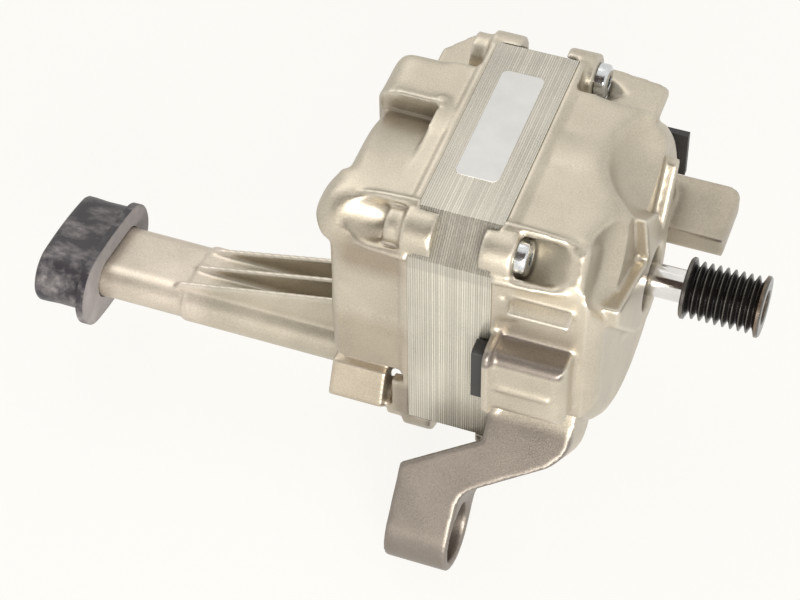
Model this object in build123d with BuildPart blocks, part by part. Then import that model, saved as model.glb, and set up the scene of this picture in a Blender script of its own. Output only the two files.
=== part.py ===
from build123d import *
import math
import os

# Washing machine motor with two arms, sizes in millimetres.
# X runs along the shaft to the belt pulley, Z is up through the label face, Y points away from the plug side.
# The origin is on the shaft axis, in the middle of the belt plane.
# Places along X are counted from the middle of the laminated core, which lies belt_offset behind the origin.

# Core and rotor
core_across = 90.6
core_length = 24.0
core_cut = 10.5
belt_offset = 69.6
slot_count = 12
yoke_thickness = 6.9
slot_depth = 11.4
tooth_width = 6.6
shoe_depth = 2.4
shoe_angle = 25.0
air_gap = 0.8
magnet_depth = 4.0
magnet_count = 8
magnet_angle = 41.0
rotor_length = 26.0
end_plate = 1.2
shaft_radius = 5.0
shaft_shoulder = 6.6
web_hole_radius = 3.6
web_hole_sides = 6

# Winding and insulators
liner = 0.8
insulator_plate = 1.6
insulator_reach = 7.5
insulator_wall = 1.2
coil_side = 3.4
coil_height = 4.4
coil_gap = 0.3

# Bearings
bearing_outer = 15.0
bearing_width = 9.0
land_rise = 1.0
ball_radius = 2.38
ball_circle_radius = 10.0
ball_count = 8
race_bottom_share = 0.42
race_top_share = 0.84
race_clearance = 0.03
cage_depth = 1.5
cage_width = 5.6
shield_thickness = 0.5
shield_setback = 0.5
front_bearing_inset = 7.5
rear_bearing_inset = 5.6
washer_thickness = 0.6

# Cast shells
rim_width = 2.6
panel_recess = 0.9
wall = 3.2
body_inset = 0.4
near_drop = 17.0
front_reach = 47.5
flat_rise = 4.1
rear_reach = 37.6
top_far_edge = 24.4
web_height = 34.0
web_thickness = 3.0
web_far_edge = 48.0
corner_round = 14.0
shell_round = 4.0
rear_round = 4.5
edge_shares = (0.72, 0.3)
hub_bore = 10.0
rear_hub_radius = 19.0
rear_hub_rise = 3.6
near_nose_rise = 4.9
far_nose_rise = 2.4
nose_cut_share = 0.8
near_nose_bottom = 31.0
far_nose_bottom = 20.0
lug_radius = 7.6
lug_inset = 8.0
front_lug_start = 8.0
front_lug_end = 17.5
rear_lug_start = 15.0
rear_lug_end = 6.0
lug_boss_radius = 5.9
lug_boss_end = 20.5
lug_clearance = 0.15
rib_thickness = 2.2
rib_inset = 3.9
rib_drop_share = 0.96
front_rib_short = 16.0
rear_rib_short = 8.8
driver_radius = 7.2
channel_sides = 8
winding_room = 1.8
cavity_step_drop = 5.4
cavity_step_x = 20.5
cavity_hub_radius = 24.0
front_step_wall = 17.5
front_end_wall = 10.0
rear_end_wall = 3.6
hub_wall = 3.4

# Screws
screw_radius = 2.45
screw_clearance = 0.3
hole_sides = 12
head_radius = 5.25
head_height = 3.6
recess_radius = 2.2
recess_depth = 2.2

# Pulley for a nine-rib belt
groove_count = 9
groove_pitch = 2.34
groove_depth = 1.9
tip_radius = 8.7
flange_radius = 9.3
flange_width = 0.77
shaft_recess = 2.9
shaft_chamfer = 0.4

# Eye arm on the front shell
eye_bore_radius = 9.25
eye_radius = 12.0
eye_from = -10.0
eye_to = 9.5
arm_slope = 48.4
arm_root_inset = 1.3
arm_root_z = -21.4
eye_down_slope = 42.5
arm_skin = 3.0
arm_root_rise = 6.0
arm_near_x = 12.4
arm_far_x = 38.1
arm_near_shoulder = -11.0
arm_far_shoulder = -24.0
arm_throat = -28.3
arm_bend = -11.2
arm_throat_round = 8.0
arm_bend_round = 13.0

# Long arm on the rear shell and its rubber boot
long_arm_y = -14.4
long_arm_z = -38.4
long_arm_tilt = -9.0
long_arm_width = 29.0
long_arm_thickness = 12.0
long_arm_end = -137.0
arm_step = 0.8
arm_step_x = -93.0
fin_thickness = 1.8
fin_spacing = 9.6
fin_height = 15.4
boot_width = 48.0
boot_thickness = 18.5
boot_flange_width = 54.0
boot_flange_thickness = 24.0
boot_flange_depth = 3.0
boot_from = -140.0
boot_to = -121.0
boot_y = -15.4

# Plug housing on the front shell
hood_from = 13.0
hood_to = 37.0
hood_reach = 8.7
hood_top = 11.5
hood_bottom = -12.3
hood_wall = 1.8
hood_round = 4.0
hood_rim = 1.6
hood_rim_width = 2.4

ledge_top = 29.6
ledge_drop = 2.4
ledge_thickness = 3.0
ledge_reach = 4.7
ledge_from = 18.0
ledge_to = 36.5
tab_to = 19.3
tab_top = 27.0
tab_bottom = 19.0

# Terminal block in the plug housing
block_from = 9.0
block_wall = 1.0
block_floor = 3.0
pin_count = 4
pin_width = 2.8
pin_thickness = 0.8
pin_pitch = 4.2
pin_from = 18.0

# Flat tongue, far web and the other cast details of the front shell
tongue_end = 62.5
tongue_near = 25.6
tongue_far = 49.0
tongue_top = -5.0
tongue_bottom = -12.0
tongue_round = 4.5
front_web_short = 9.5
clip_short = 2.8
clip_length = 8.2
clip_top = 15.4
clip_bottom = -1.0
clip_out = 3.0
clip_chamfer = 0.8

# Flat of the front end, its arms and the scoops between them, and the scooped rear top
flat_hub = 15.5
waist_y = -6.5
waist_z = 14.4
top_arm_near_y = -13.5
top_arm_near_z = 38.0
top_arm_far_y = 0.5
top_arm_far_z = 27.0
near_arm_y = -38.2
near_arm_top = 26.0
near_arm_bottom = 19.0
far_arm_y = 24.0
far_arm_z = 27.6
far_arm_width = 3.2
flat_depth = 10.0
top_valley_out = 8.5
top_valley_y = 6.0
top_valley_z = 48.0
top_valley_radius = 25.0
corner_valley_out = 10.5
corner_valley_y = -33.0
corner_valley_z = 38.0
corner_valley_radius = 22.0
front_round = 5.0
scoop_from = 20.5
scoop_far_y = 5.5
scoop_depth = 7.5
scoop_near_y = -26.0
lip_rise = 0.6
lip_width = 2.0

# Rear shell pads and web
rear_web_short = 6.6
pad_overhang = 0.4
pad_length = 17.0
pad_top = -24.0
pad_bottom = -37.0
pad_reach = 0.7
pad_depth = 10.0
small_pad_to = 18.0
small_pad_top = -21.6
small_pad_bottom = -35.3

# Label
label_length = 44.3
label_width = 12.8
label_thickness = 0.2
label_corner = 2.0
label_x = -0.8
label_y = 1.9

# One overrun for every cut, one clearance for parts that lie loose beside each other
overrun = 2.0
gap = 0.3

half_core = core_length / 2
half_bearing = bearing_width / 2
half_across = core_across / 2
yoke_radius = half_across - yoke_thickness
bore_radius = yoke_radius - slot_depth
rotor_radius = bore_radius - air_gap
panel = half_across - panel_recess
body_radius = half_across - body_inset
lug_place = half_across - lug_inset
rib_root = lug_place - rib_inset
hood_out = half_across + hood_reach
socket_in = half_across + gap
cavity_radius = yoke_radius + winding_room
cavity_step_radius = yoke_radius - cavity_step_drop
front_body = front_reach - flat_rise
front_bearing_x = front_reach - front_bearing_inset
rear_bearing_x = rear_bearing_inset - rear_reach
ball_inside = ball_circle_radius - ball_radius - race_clearance
ball_outside = ball_circle_radius + ball_radius + race_clearance
inner_land = ball_inside + land_rise
outer_land = ball_outside - land_rise
front_web_end = front_reach - front_web_short
clip_to = front_reach - clip_short
pad_from = rear_reach + pad_overhang
pad_out = half_across + pad_reach


def across(x):
    # A plane square to the shaft, x from the middle of the core, with Y to the right and Z up.
    return Plane(origin=(x - belt_offset, 0, 0), x_dir=(0, 1, 0), z_dir=(1, 0, 0))


def plan(z):
    # A level plane at height z, with x counted from the middle of the core.
    return Plane(origin=(-belt_offset, 0, z), x_dir=(1, 0, 0), z_dir=(0, 0, 1))


def upright(y):
    # A plane along the shaft at y, seen from the plug side: x to the right, Z up, facing -Y.
    return Plane(origin=(-belt_offset, y, 0), x_dir=(1, 0, 0), z_dir=(0, -1, 0))


def core_outline():
    # Square with its corners cut at 45 degrees, drawn in the open sketch.
    flat = half_across - core_cut
    Polygon(
        (-flat, -half_across),
        (flat, -half_across),
        (half_across, -flat),
        (half_across, flat),
        (flat, half_across),
        (-flat, half_across),
        (-half_across, flat),
        (-half_across, -flat),
        align=None,
    )


def body_outline():
    # Section of both cast shells: round about the shaft below and beyond, square up to the near top corner.
    Circle(body_radius)
    Polygon(
        (-panel, -near_drop),
        (0, -near_drop),
        (0, 0),
        (top_far_edge, 0),
        (top_far_edge, panel),
        (-panel, panel),
        align=None,
    )
    fillet(vertices().sort_by_distance((-panel, panel))[0], corner_round)


def lug_places():
    return GridLocations(2 * lug_place, 2 * lug_place, 2, 2)


def screw_holes(radius):
    # Four hidden holes with twelve flat sides, drawn in the open sketch, clear of a round of this radius.
    with lug_places():
        RegularPolygon(radius, hole_sides, major_radius=False)


os.makedirs("parts", exist_ok=True)


# Laminated core with twelve teeth
with BuildPart() as stator_core:
    with BuildSketch(across(-half_core)):
        core_outline()
        Circle(yoke_radius, mode=Mode.SUBTRACT)
        with PolarLocations((yoke_radius + bore_radius + shoe_depth) / 2, slot_count):
            Rectangle(yoke_radius - bore_radius, tooth_width)
        with BuildSketch(mode=Mode.PRIVATE) as shoe:
            Circle(bore_radius + shoe_depth)
            Circle(bore_radius, mode=Mode.SUBTRACT)
            Polygon(
                (0, 0),
                (core_across * math.cos(math.radians(shoe_angle / 2)),
                 -core_across * math.sin(math.radians(shoe_angle / 2))),
                (core_across * math.cos(math.radians(shoe_angle / 2)),
                 core_across * math.sin(math.radians(shoe_angle / 2))),
                align=None,
                mode=Mode.INTERSECT,
            )
        with PolarLocations(0, slot_count):
            add(shoe.sketch)
        Circle(bore_radius, mode=Mode.SUBTRACT)
        with lug_places():
            RegularPolygon(screw_radius + screw_clearance, hole_sides, major_radius=False, mode=Mode.SUBTRACT)
    extrude(amount=core_length)
stator_core.part.label = "stator_core"
export_step(stator_core.part, "parts/stator_core.step")


tooth_middle = (yoke_radius + bore_radius + shoe_depth) / 2
coil_from = bore_radius + shoe_depth + insulator_wall
coil_to = yoke_radius - coil_gap
coil_middle = (coil_from + coil_to) / 2
coil_radial = coil_to - coil_from
coil_inner_width = tooth_width + 2 * liner + 2 * coil_gap


# Plastic insulators, one pushed over the teeth from each end
def insulator(side):
    with BuildPart() as cap:
        with BuildSketch(across(side * half_core)):
            Circle(yoke_radius + insulator_wall)
            Circle(yoke_radius, mode=Mode.SUBTRACT)
            with PolarLocations(tooth_middle, slot_count):
                Rectangle(yoke_radius - bore_radius - shoe_depth, tooth_width + 2 * liner)
            Circle(bore_radius + shoe_depth, mode=Mode.SUBTRACT)
        extrude(amount=side * insulator_plate)
        with BuildSketch(across(side * half_core)):
            Circle(yoke_radius + insulator_wall)
            Circle(yoke_radius, mode=Mode.SUBTRACT)
        extrude(amount=side * insulator_reach)
        with BuildSketch(across(side * half_core)):
            with PolarLocations(bore_radius + shoe_depth + insulator_wall / 2, slot_count):
                Rectangle(insulator_wall, tooth_width + 2 * liner)
        extrude(amount=side * insulator_reach)
    return cap.part


for side, name in ((1, "front_insulator"), (-1, "rear_insulator")):
    insulator_part = insulator(side)
    insulator_part.label = name
    export_step(insulator_part, f"parts/{name}.step")


# Twelve coils, one round each tooth
coil_reach = half_core + insulator_plate + coil_gap
with BuildPart() as stator_coils:
    with BuildSketch(across(-coil_reach - coil_height)):
        with PolarLocations(coil_middle, slot_count):
            Rectangle(coil_radial, coil_inner_width + 2 * coil_side)
    extrude(amount=2 * (coil_reach + coil_height))
    with BuildSketch(across(-coil_reach)):
        with PolarLocations(coil_middle, slot_count):
            Rectangle(coil_radial + overrun, coil_inner_width)
    extrude(amount=2 * coil_reach, mode=Mode.SUBTRACT)
    with BuildSketch(across(-coil_reach - coil_height)):
        Circle(yoke_radius - coil_gap)
    extrude(amount=2 * (coil_reach + coil_height), mode=Mode.INTERSECT)
stator_coils.part.label = "stator_coils"
export_step(stator_coils.part, "parts/stator_coils.step")


# Rotor: laminated core, eight magnets and two end plates
core_radius = rotor_radius - magnet_depth
half_rotor = rotor_length / 2
with BuildPart() as rotor_core:
    with BuildSketch(across(-half_rotor)):
        Circle(core_radius)
        Circle(shaft_shoulder, mode=Mode.SUBTRACT)
        with PolarLocations((core_radius + shaft_shoulder) / 2, magnet_count):
            RegularPolygon(web_hole_radius, web_hole_sides, mode=Mode.SUBTRACT)
    extrude(amount=rotor_length)
rotor_core.part.label = "rotor_core"
export_step(rotor_core.part, "parts/rotor_core.step")

with BuildPart() as rotor_magnets:
    with BuildSketch(across(-half_rotor)):
        with BuildSketch(mode=Mode.PRIVATE) as magnet:
            Circle(rotor_radius)
            Circle(core_radius, mode=Mode.SUBTRACT)
            Polygon(
                (0, 0),
                (core_across * math.cos(math.radians(magnet_angle / 2)),
                 -core_across * math.sin(math.radians(magnet_angle / 2))),
                (core_across * math.cos(math.radians(magnet_angle / 2)),
                 core_across * math.sin(math.radians(magnet_angle / 2))),
                align=None,
                mode=Mode.INTERSECT,
            )
        with PolarLocations(0, magnet_count):
            add(magnet.sketch)
    extrude(amount=rotor_length)
rotor_magnets.part.label = "rotor_magnets"
export_step(rotor_magnets.part, "parts/rotor_magnets.step")

with BuildPart() as rotor_end_plates:
    for start, height in ((half_rotor, end_plate), (-half_rotor, -end_plate)):
        with BuildSketch(across(start)):
            Circle(rotor_radius)
            Circle(shaft_shoulder, mode=Mode.SUBTRACT)
        extrude(amount=height)
rotor_end_plates.part.label = "rotor_end_plates"
export_step(rotor_end_plates.part, "parts/rotor_end_plates.step")


# Shaft, with a thicker middle that carries the rotor and stops the bearings
front_seat = front_bearing_x - bearing_width / 2
rear_seat = rear_bearing_x + bearing_width / 2
pulley_length = groove_count * groove_pitch + 2 * flange_width
pulley_start = belt_offset - pulley_length / 2
pulley_end = belt_offset + pulley_length / 2
shaft_end = pulley_end - shaft_recess
shaft_tail = rear_bearing_x - bearing_width / 2 - gap
with BuildPart() as shaft:
    with BuildSketch(across(shaft_tail)):
        Circle(shaft_radius)
    extrude(amount=shaft_end - shaft_tail)
    with BuildSketch(across(rear_seat)):
        Circle(shaft_shoulder)
    extrude(amount=front_seat - rear_seat)
    chamfer(shaft.faces().sort_by(Axis.X)[-1].edges(), shaft_chamfer)
shaft.part.label = "shaft"
export_step(shaft.part, "parts/shaft.step")


# Belt pulley: nine V grooves turned in one profile
root = tip_radius - groove_depth
grooves_start = pulley_start + flange_width
pulley_profile = [(pulley_start, shaft_radius), (pulley_start, flange_radius), (grooves_start, flange_radius)]
for groove in range(groove_count):
    pulley_profile.append((grooves_start + groove * groove_pitch, tip_radius))
    pulley_profile.append((grooves_start + (groove + 1 / 2) * groove_pitch, root))
pulley_profile.append((pulley_end - flange_width, tip_radius))
pulley_profile.append((pulley_end - flange_width, flange_radius))
pulley_profile.append((pulley_end, flange_radius))
pulley_profile.append((pulley_end, shaft_radius))

with BuildPart() as belt_pulley:
    with BuildSketch(upright(0)):
        Polygon(*pulley_profile, align=None)
    revolve(axis=Axis.X)
belt_pulley.part.label = "belt_pulley"
export_step(belt_pulley.part, "parts/belt_pulley.step")


# Ball bearings: rings with grooved tracks, eight balls, a cage and two shields each
race_bottom = ball_radius * race_bottom_share
race_top = ball_radius * race_top_share


def bearing_ring(x, face_radius, land_radius, race_radius):
    # Half section of a ring with a straight-sided track for the balls, turned round the shaft.
    with BuildPart() as ring:
        with BuildSketch(upright(0)):
            Polygon(
                (x - half_bearing, face_radius),
                (x - half_bearing, land_radius),
                (x - race_top, land_radius),
                (x - race_bottom, race_radius),
                (x + race_bottom, race_radius),
                (x + race_top, land_radius),
                (x + half_bearing, land_radius),
                (x + half_bearing, face_radius),
                align=None,
            )
        revolve(axis=Axis.X)
    return ring.part


def ball_set(x):
    # Each ball has flat faces, a cube with all its edges cut, whose corners lie on the true ball.
    edge = 2 * ball_radius / math.sqrt(5 + 2 * math.sqrt(2))
    with BuildPart() as ball:
        Box(edge * (1 + math.sqrt(2)), edge * (1 + math.sqrt(2)), edge * (1 + math.sqrt(2)))
        chamfer(ball.edges(), edge / math.sqrt(2))
    with BuildPart() as balls:
        with Locations(across(x)):
            with PolarLocations(ball_circle_radius, ball_count):
                add(ball.part)
    return balls.part


cage_outside = ball_circle_radius + cage_depth / 2
cage_turn = math.degrees(math.pi / (2 * ball_count))


def ball_cage(x):
    # A ring round the ball circle, flat-sided inside, with one square window for each ball.
    with BuildPart() as cage:
        with BuildSketch(across(x - cage_width / 2)):
            Circle(cage_outside)
            RegularPolygon(cage_outside - cage_depth, 2 * ball_count, rotation=cage_turn, mode=Mode.SUBTRACT)
        extrude(amount=cage_width)
        with BuildSketch(across(x - ball_radius - race_clearance)):
            with PolarLocations(ball_circle_radius, ball_count):
                Rectangle(cage_width, 2 * (ball_radius + race_clearance))
        extrude(amount=2 * (ball_radius + race_clearance), mode=Mode.SUBTRACT)
    return cage.part


def shield_pair(x):
    with BuildPart() as shields:
        for side in (-1, 1):
            with BuildSketch(across(x + side * (half_bearing - shield_setback))):
                Circle(outer_land)
                Circle(inner_land + gap, mode=Mode.SUBTRACT)
            extrude(amount=-side * shield_thickness)
    return shields.part


for end, x in (("front", front_bearing_x), ("rear", rear_bearing_x)):
    bearing_pieces = {
        "bearing_outer": bearing_ring(x, bearing_outer, outer_land, ball_outside),
        "bearing_inner": bearing_ring(x, shaft_radius, inner_land, ball_inside),
        "bearing_balls": ball_set(x),
        "bearing_cage": ball_cage(x),
        "bearing_shields": shield_pair(x),
    }
    for piece_name, piece in bearing_pieces.items():
        piece.label = f"{end}_{piece_name}"
        export_step(piece, f"parts/{end}_{piece_name}.step")


# Spring washer that loads the rear bearing
with BuildPart() as wave_washer:
    with BuildSketch(across(rear_bearing_x - half_bearing - washer_thickness)):
        Circle(bearing_outer - gap)
        Circle(outer_land, mode=Mode.SUBTRACT)
    extrude(amount=washer_thickness)
wave_washer.part.label = "wave_washer"
export_step(wave_washer.part, "parts/wave_washer.step")


# What both cast shells share: four lugs, driver channels and the ribs beside them
def lug_set(side, start, end):
    # Lugs that lap over the corners of the core, cut back from the core itself.
    with BuildPart() as lugs:
        with BuildSketch(across(start)):
            with lug_places():
                Circle(lug_radius)
        extrude(amount=end - start)
        with BuildSketch(across(0)):
            core_outline()
            offset(amount=lug_clearance)
        extrude(amount=side * half_core, mode=Mode.SUBTRACT)
    return lugs.part


def channel_set(start, end):
    # Tapered channels for the screwdriver along the corners, round on the near top and flat-sided elsewhere.
    slope = math.degrees(math.atan((driver_radius - rib_thickness) / abs(end - start)))
    with BuildPart() as channels:
        with BuildSketch(across(start)):
            with lug_places():
                RegularPolygon(driver_radius, channel_sides)
            with Locations((-lug_place, lug_place)):
                Circle(driver_radius)
        extrude(amount=end - start, taper=slope)
    return channels.part


def rib_set(side, end):
    # Two thin ribs beside each channel on the plug side, tapered to nothing.
    with BuildPart() as ribs:
        for z_low, z_high in ((rib_root, half_across), (-rib_root, -half_across)):
            with BuildSketch(upright(-rib_root)):
                Polygon(
                    (side * half_core, z_low),
                    (side * half_core, z_high),
                    (side * end, z_high * rib_drop_share),
                    (side * end, z_low),
                    align=None,
                )
            extrude(amount=rib_thickness)
        for z in (rib_root, -rib_root - rib_thickness):
            with BuildSketch(plan(z)):
                Polygon(
                    (side * half_core, -half_across),
                    (side * half_core, -rib_root),
                    (side * end, -rib_root),
                    (side * end, -half_across * rib_drop_share),
                    align=None,
                )
            extrude(amount=rib_thickness)
    return ribs.part


# Plug housing: a rounded box on the near face, open towards the rear shell
def plug_hood():
    hood_middle = (hood_top + hood_bottom) / 2
    hood_height = hood_top - hood_bottom
    with BuildPart() as hood:
        with BuildSketch(upright(-panel + wall)):
            with Locations(((hood_from + hood_to) / 2, hood_middle)):
                Rectangle(hood_to - hood_from, hood_height)
        extrude(amount=hood_out - panel + wall)
        fillet(hood.faces().sort_by(Axis.Y)[0].edges() - hood.faces().sort_by(Axis.X)[0].edges(), hood_round)
        with BuildSketch(across(hood_from)):
            with Locations((-(hood_out + panel - wall) / 2, hood_middle)):
                Rectangle(hood_out - panel + wall + 2 * hood_rim, hood_height + 2 * hood_rim)
            fillet(vertices(), hood_round)
        extrude(amount=hood_rim_width)
        with BuildSketch(upright(-hood_out + hood_rim)):
            with Locations(((hood_from + hood_to) / 2, hood_middle)):
                Rectangle(hood_to - hood_from - 2 * hood_round, hood_rim)
        extrude(amount=hood_rim + hood_rim / 2)
    return hood.part


def plug_socket():
    # The space inside the hood that the terminal block fills.
    with BuildPart() as socket:
        with BuildSketch(across(hood_from - overrun)):
            with Locations((-(hood_out - hood_wall + socket_in) / 2, (hood_top + hood_bottom) / 2)):
                Rectangle(hood_out - hood_wall - socket_in, hood_top - hood_bottom - 2 * hood_wall)
            fillet(vertices(), hood_rim)
        extrude(amount=hood_to - hood_from + overrun - hood_wall)
    return socket.part


# Eye arm: a skewed cast arm in its own sloping plane, with a tube for the pivot bolt at its end
eye_plane = Plane(
    origin=(-belt_offset, arm_root_inset - half_across, arm_root_z),
    x_dir=(1, 0, 0),
    z_dir=(0, -math.sin(math.radians(arm_slope)), math.cos(math.radians(arm_slope))),
)
eye_centre = eye_plane.from_local_coords((0, -eye_down_slope, -eye_radius))
arm_depth = 2 * eye_radius


def eye_arm():
    # A slanted outer plate, a hollowed block behind its root, and the eye tube at its end.
    with BuildPart() as arm:
        with BuildSketch(eye_plane):
            Polygon(
                (arm_near_x, arm_root_rise),
                (arm_near_x, arm_near_shoulder),
                (eye_from, arm_far_shoulder),
                (eye_from, -eye_down_slope),
                (eye_to, -eye_down_slope),
                (eye_to, arm_throat),
                (arm_far_x, arm_bend),
                (arm_far_x, arm_root_rise),
                align=None,
            )
            fillet(vertices().sort_by_distance((eye_to, arm_throat))[0], arm_throat_round)
            fillet(vertices().sort_by_distance((arm_far_x, arm_bend))[0], arm_bend_round)
        extrude(amount=-arm_skin)
        with BuildSketch(eye_plane):
            Polygon(
                (arm_near_x, arm_root_rise),
                (arm_near_x, arm_near_shoulder),
                (eye_from + arm_skin, -eye_down_slope),
                (eye_to, -eye_down_slope),
                (eye_to, arm_throat),
                (arm_far_x, arm_bend),
                (arm_far_x, arm_root_rise),
                align=None,
            )
            fillet(vertices().sort_by_distance((eye_to, arm_throat))[0], arm_throat_round)
            fillet(vertices().sort_by_distance((arm_far_x, arm_bend))[0], arm_bend_round)
        extrude(amount=-arm_depth)
        with BuildSketch(eye_plane.offset(-arm_skin)):
            Polygon(
                (arm_near_x + arm_skin, arm_root_rise - arm_skin),
                (arm_near_x + arm_skin, arm_near_shoulder),
                (eye_to, arm_throat + 2 * arm_skin),
                (eye_to + arm_skin, arm_throat + 2 * arm_skin),
                (arm_far_x - arm_skin, arm_bend + 2 * arm_skin),
                (arm_far_x - arm_skin, arm_root_rise - arm_skin),
                align=None,
            )
        extrude(amount=-arm_depth, mode=Mode.SUBTRACT)
        with BuildSketch(across(eye_from)):
            with Locations((eye_centre.Y, eye_centre.Z)):
                Circle(eye_radius)
        extrude(amount=eye_to - eye_from)
        with BuildSketch(across(eye_from - overrun)):
            with Locations((eye_centre.Y, eye_centre.Z)):
                Circle(eye_bore_radius)
        extrude(amount=eye_to - eye_from + 2 * overrun, mode=Mode.SUBTRACT)
    return arm.part


# The flat of the front end: a hub with two broad arms and one narrow one, widening as it goes down
def front_flat():
    with BuildPart() as flat:
        with BuildSketch(across(front_reach)):
            Circle(flat_hub)
            Polygon(
                (waist_y, waist_z),
                (top_arm_near_y, top_arm_near_z),
                (top_arm_far_y, top_arm_far_z),
                (flat_hub / 2, waist_z),
                (0, 0),
                align=None,
            )
            Polygon(
                (waist_y, waist_z),
                (near_arm_y, near_arm_top),
                (near_arm_y, near_arm_bottom),
                (-flat_hub, -flat_hub / 2),
                (0, -flat_hub),
                (0, 0),
                align=None,
            )
            Polygon(
                (0, 0),
                (far_arm_y - far_arm_width, far_arm_z),
                (far_arm_y, far_arm_z),
                (far_arm_y - far_arm_width, far_arm_z - 2 * far_arm_width),
                (flat_hub, 0),
                align=None,
            )
        extrude(amount=-flat_depth)
    return flat.part


# Front shell with the plug hood, the eye arm and the flat tongue
front_pocket = front_bearing_x + half_bearing
with BuildPart() as front_shell:
    with BuildSketch(across(half_core)):
        body_outline()
    extrude(amount=front_body - half_core)
    for cut_share in edge_shares:
        chamfer(front_shell.faces().sort_by(Axis.X)[-1].edges(), front_round * cut_share)
    for x, y, z, radius in (
        (top_valley_out, top_valley_y, top_valley_z, top_valley_radius),
        (corner_valley_out, corner_valley_y, corner_valley_z, corner_valley_radius),
    ):
        with Locations((front_reach + x - belt_offset, y, z)):
            Sphere(radius, mode=Mode.SUBTRACT)
    add(front_flat())
    # Web on the far top edge between the far lugs
    with BuildSketch(plan(web_height - web_thickness)):
        Polygon(
            (half_core, top_far_edge),
            (front_web_end, top_far_edge),
            (front_web_end, web_far_edge - shell_round),
            (front_web_end - shell_round, web_far_edge - rim_width),
            (half_core, web_far_edge),
            align=None,
        )
    extrude(amount=web_thickness)
    add(rib_set(1, front_reach - front_rib_short))
    add(channel_set(front_lug_end, front_reach - front_rib_short), mode=Mode.SUBTRACT)
    with BuildSketch(across(half_core)):
        core_outline()
    extrude(amount=rim_width)
    add(lug_set(1, front_lug_start, front_lug_end))


    # Flat tongue on the far side
    with BuildSketch(plan(tongue_bottom)):
        Polygon(
            (front_web_end, tongue_near),
            (tongue_end, tongue_near),
            (tongue_end, tongue_far),
            (front_web_end, tongue_far),
            align=None,
        )
        fillet(vertices().sort_by_distance((tongue_end, tongue_far))[0], tongue_round)
    extrude(amount=tongue_top - tongue_bottom)

    # Ledge and tab above the plug housing
    with BuildSketch(across(ledge_from)):
        Polygon(
            (-panel + wall, ledge_top),
            (-half_across - ledge_reach, ledge_top - ledge_drop),
            (-half_across - ledge_reach, ledge_top - ledge_drop - ledge_thickness / 2),
            (-panel + wall, ledge_top - ledge_thickness),
            align=None,
        )
    extrude(amount=ledge_to - ledge_from)
    with BuildSketch(upright(-panel + wall)):
        with Locations(((half_core + tab_to) / 2, (tab_top + tab_bottom) / 2)):
            Rectangle(tab_to - half_core, tab_top - tab_bottom)
        fillet(vertices().group_by(Axis.X)[-1], hood_rim)
    extrude(amount=wall + panel_recess)

    add(plug_hood())
    add(plug_socket(), mode=Mode.SUBTRACT)
    add(eye_arm())

    # Cavity for the winding, then the bearing hub
    for end, radius in (
        (cavity_step_x, cavity_radius),
        (front_reach - front_step_wall, cavity_step_radius),
        (front_reach - front_end_wall, cavity_hub_radius),
    ):
        with BuildSketch(across(half_core)):
            Circle(radius)
        extrude(amount=end - half_core, mode=Mode.SUBTRACT)
    with BuildSketch(across(front_seat - hub_wall)):
        Circle(bearing_outer + hub_wall)
    extrude(amount=front_pocket - front_seat + hub_wall)
    with BuildSketch(across(half_core)):
        Circle(bearing_outer)
    extrude(amount=front_pocket - half_core, mode=Mode.SUBTRACT)
    with BuildSketch(across(half_core)):
        Circle(hub_bore)
    extrude(amount=front_reach - half_core + overrun, mode=Mode.SUBTRACT)
    with BuildSketch(across(0)):
        screw_holes(screw_radius + screw_clearance)
    extrude(amount=front_lug_end + overrun, mode=Mode.SUBTRACT)
front_shell.part.label = "front_shell"
export_step(front_shell.part, "parts/front_shell.step")


# Oval section of the long arm and its boot, in the open sketch
def arm_oval(width, thickness, y):
    with Locations((y, long_arm_z)):
        SlotOverall(width, thickness, rotation=long_arm_tilt)


def rear_nose(y_low, y_high, z_low, rise):
    # A piece of the body's own outline that stands further back, with cut edges.
    with BuildPart() as nose:
        with BuildSketch(across(-rear_reach + rear_round)):
            body_outline()
            with Locations(((y_low + y_high) / 2, (z_low + panel) / 2)):
                Rectangle(y_high - y_low, panel - z_low, mode=Mode.INTERSECT)
        extrude(amount=-rear_round - rise)
        chamfer(nose.faces().sort_by(Axis.X)[0].edges(), rise * nose_cut_share)
    return nose.part


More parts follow.
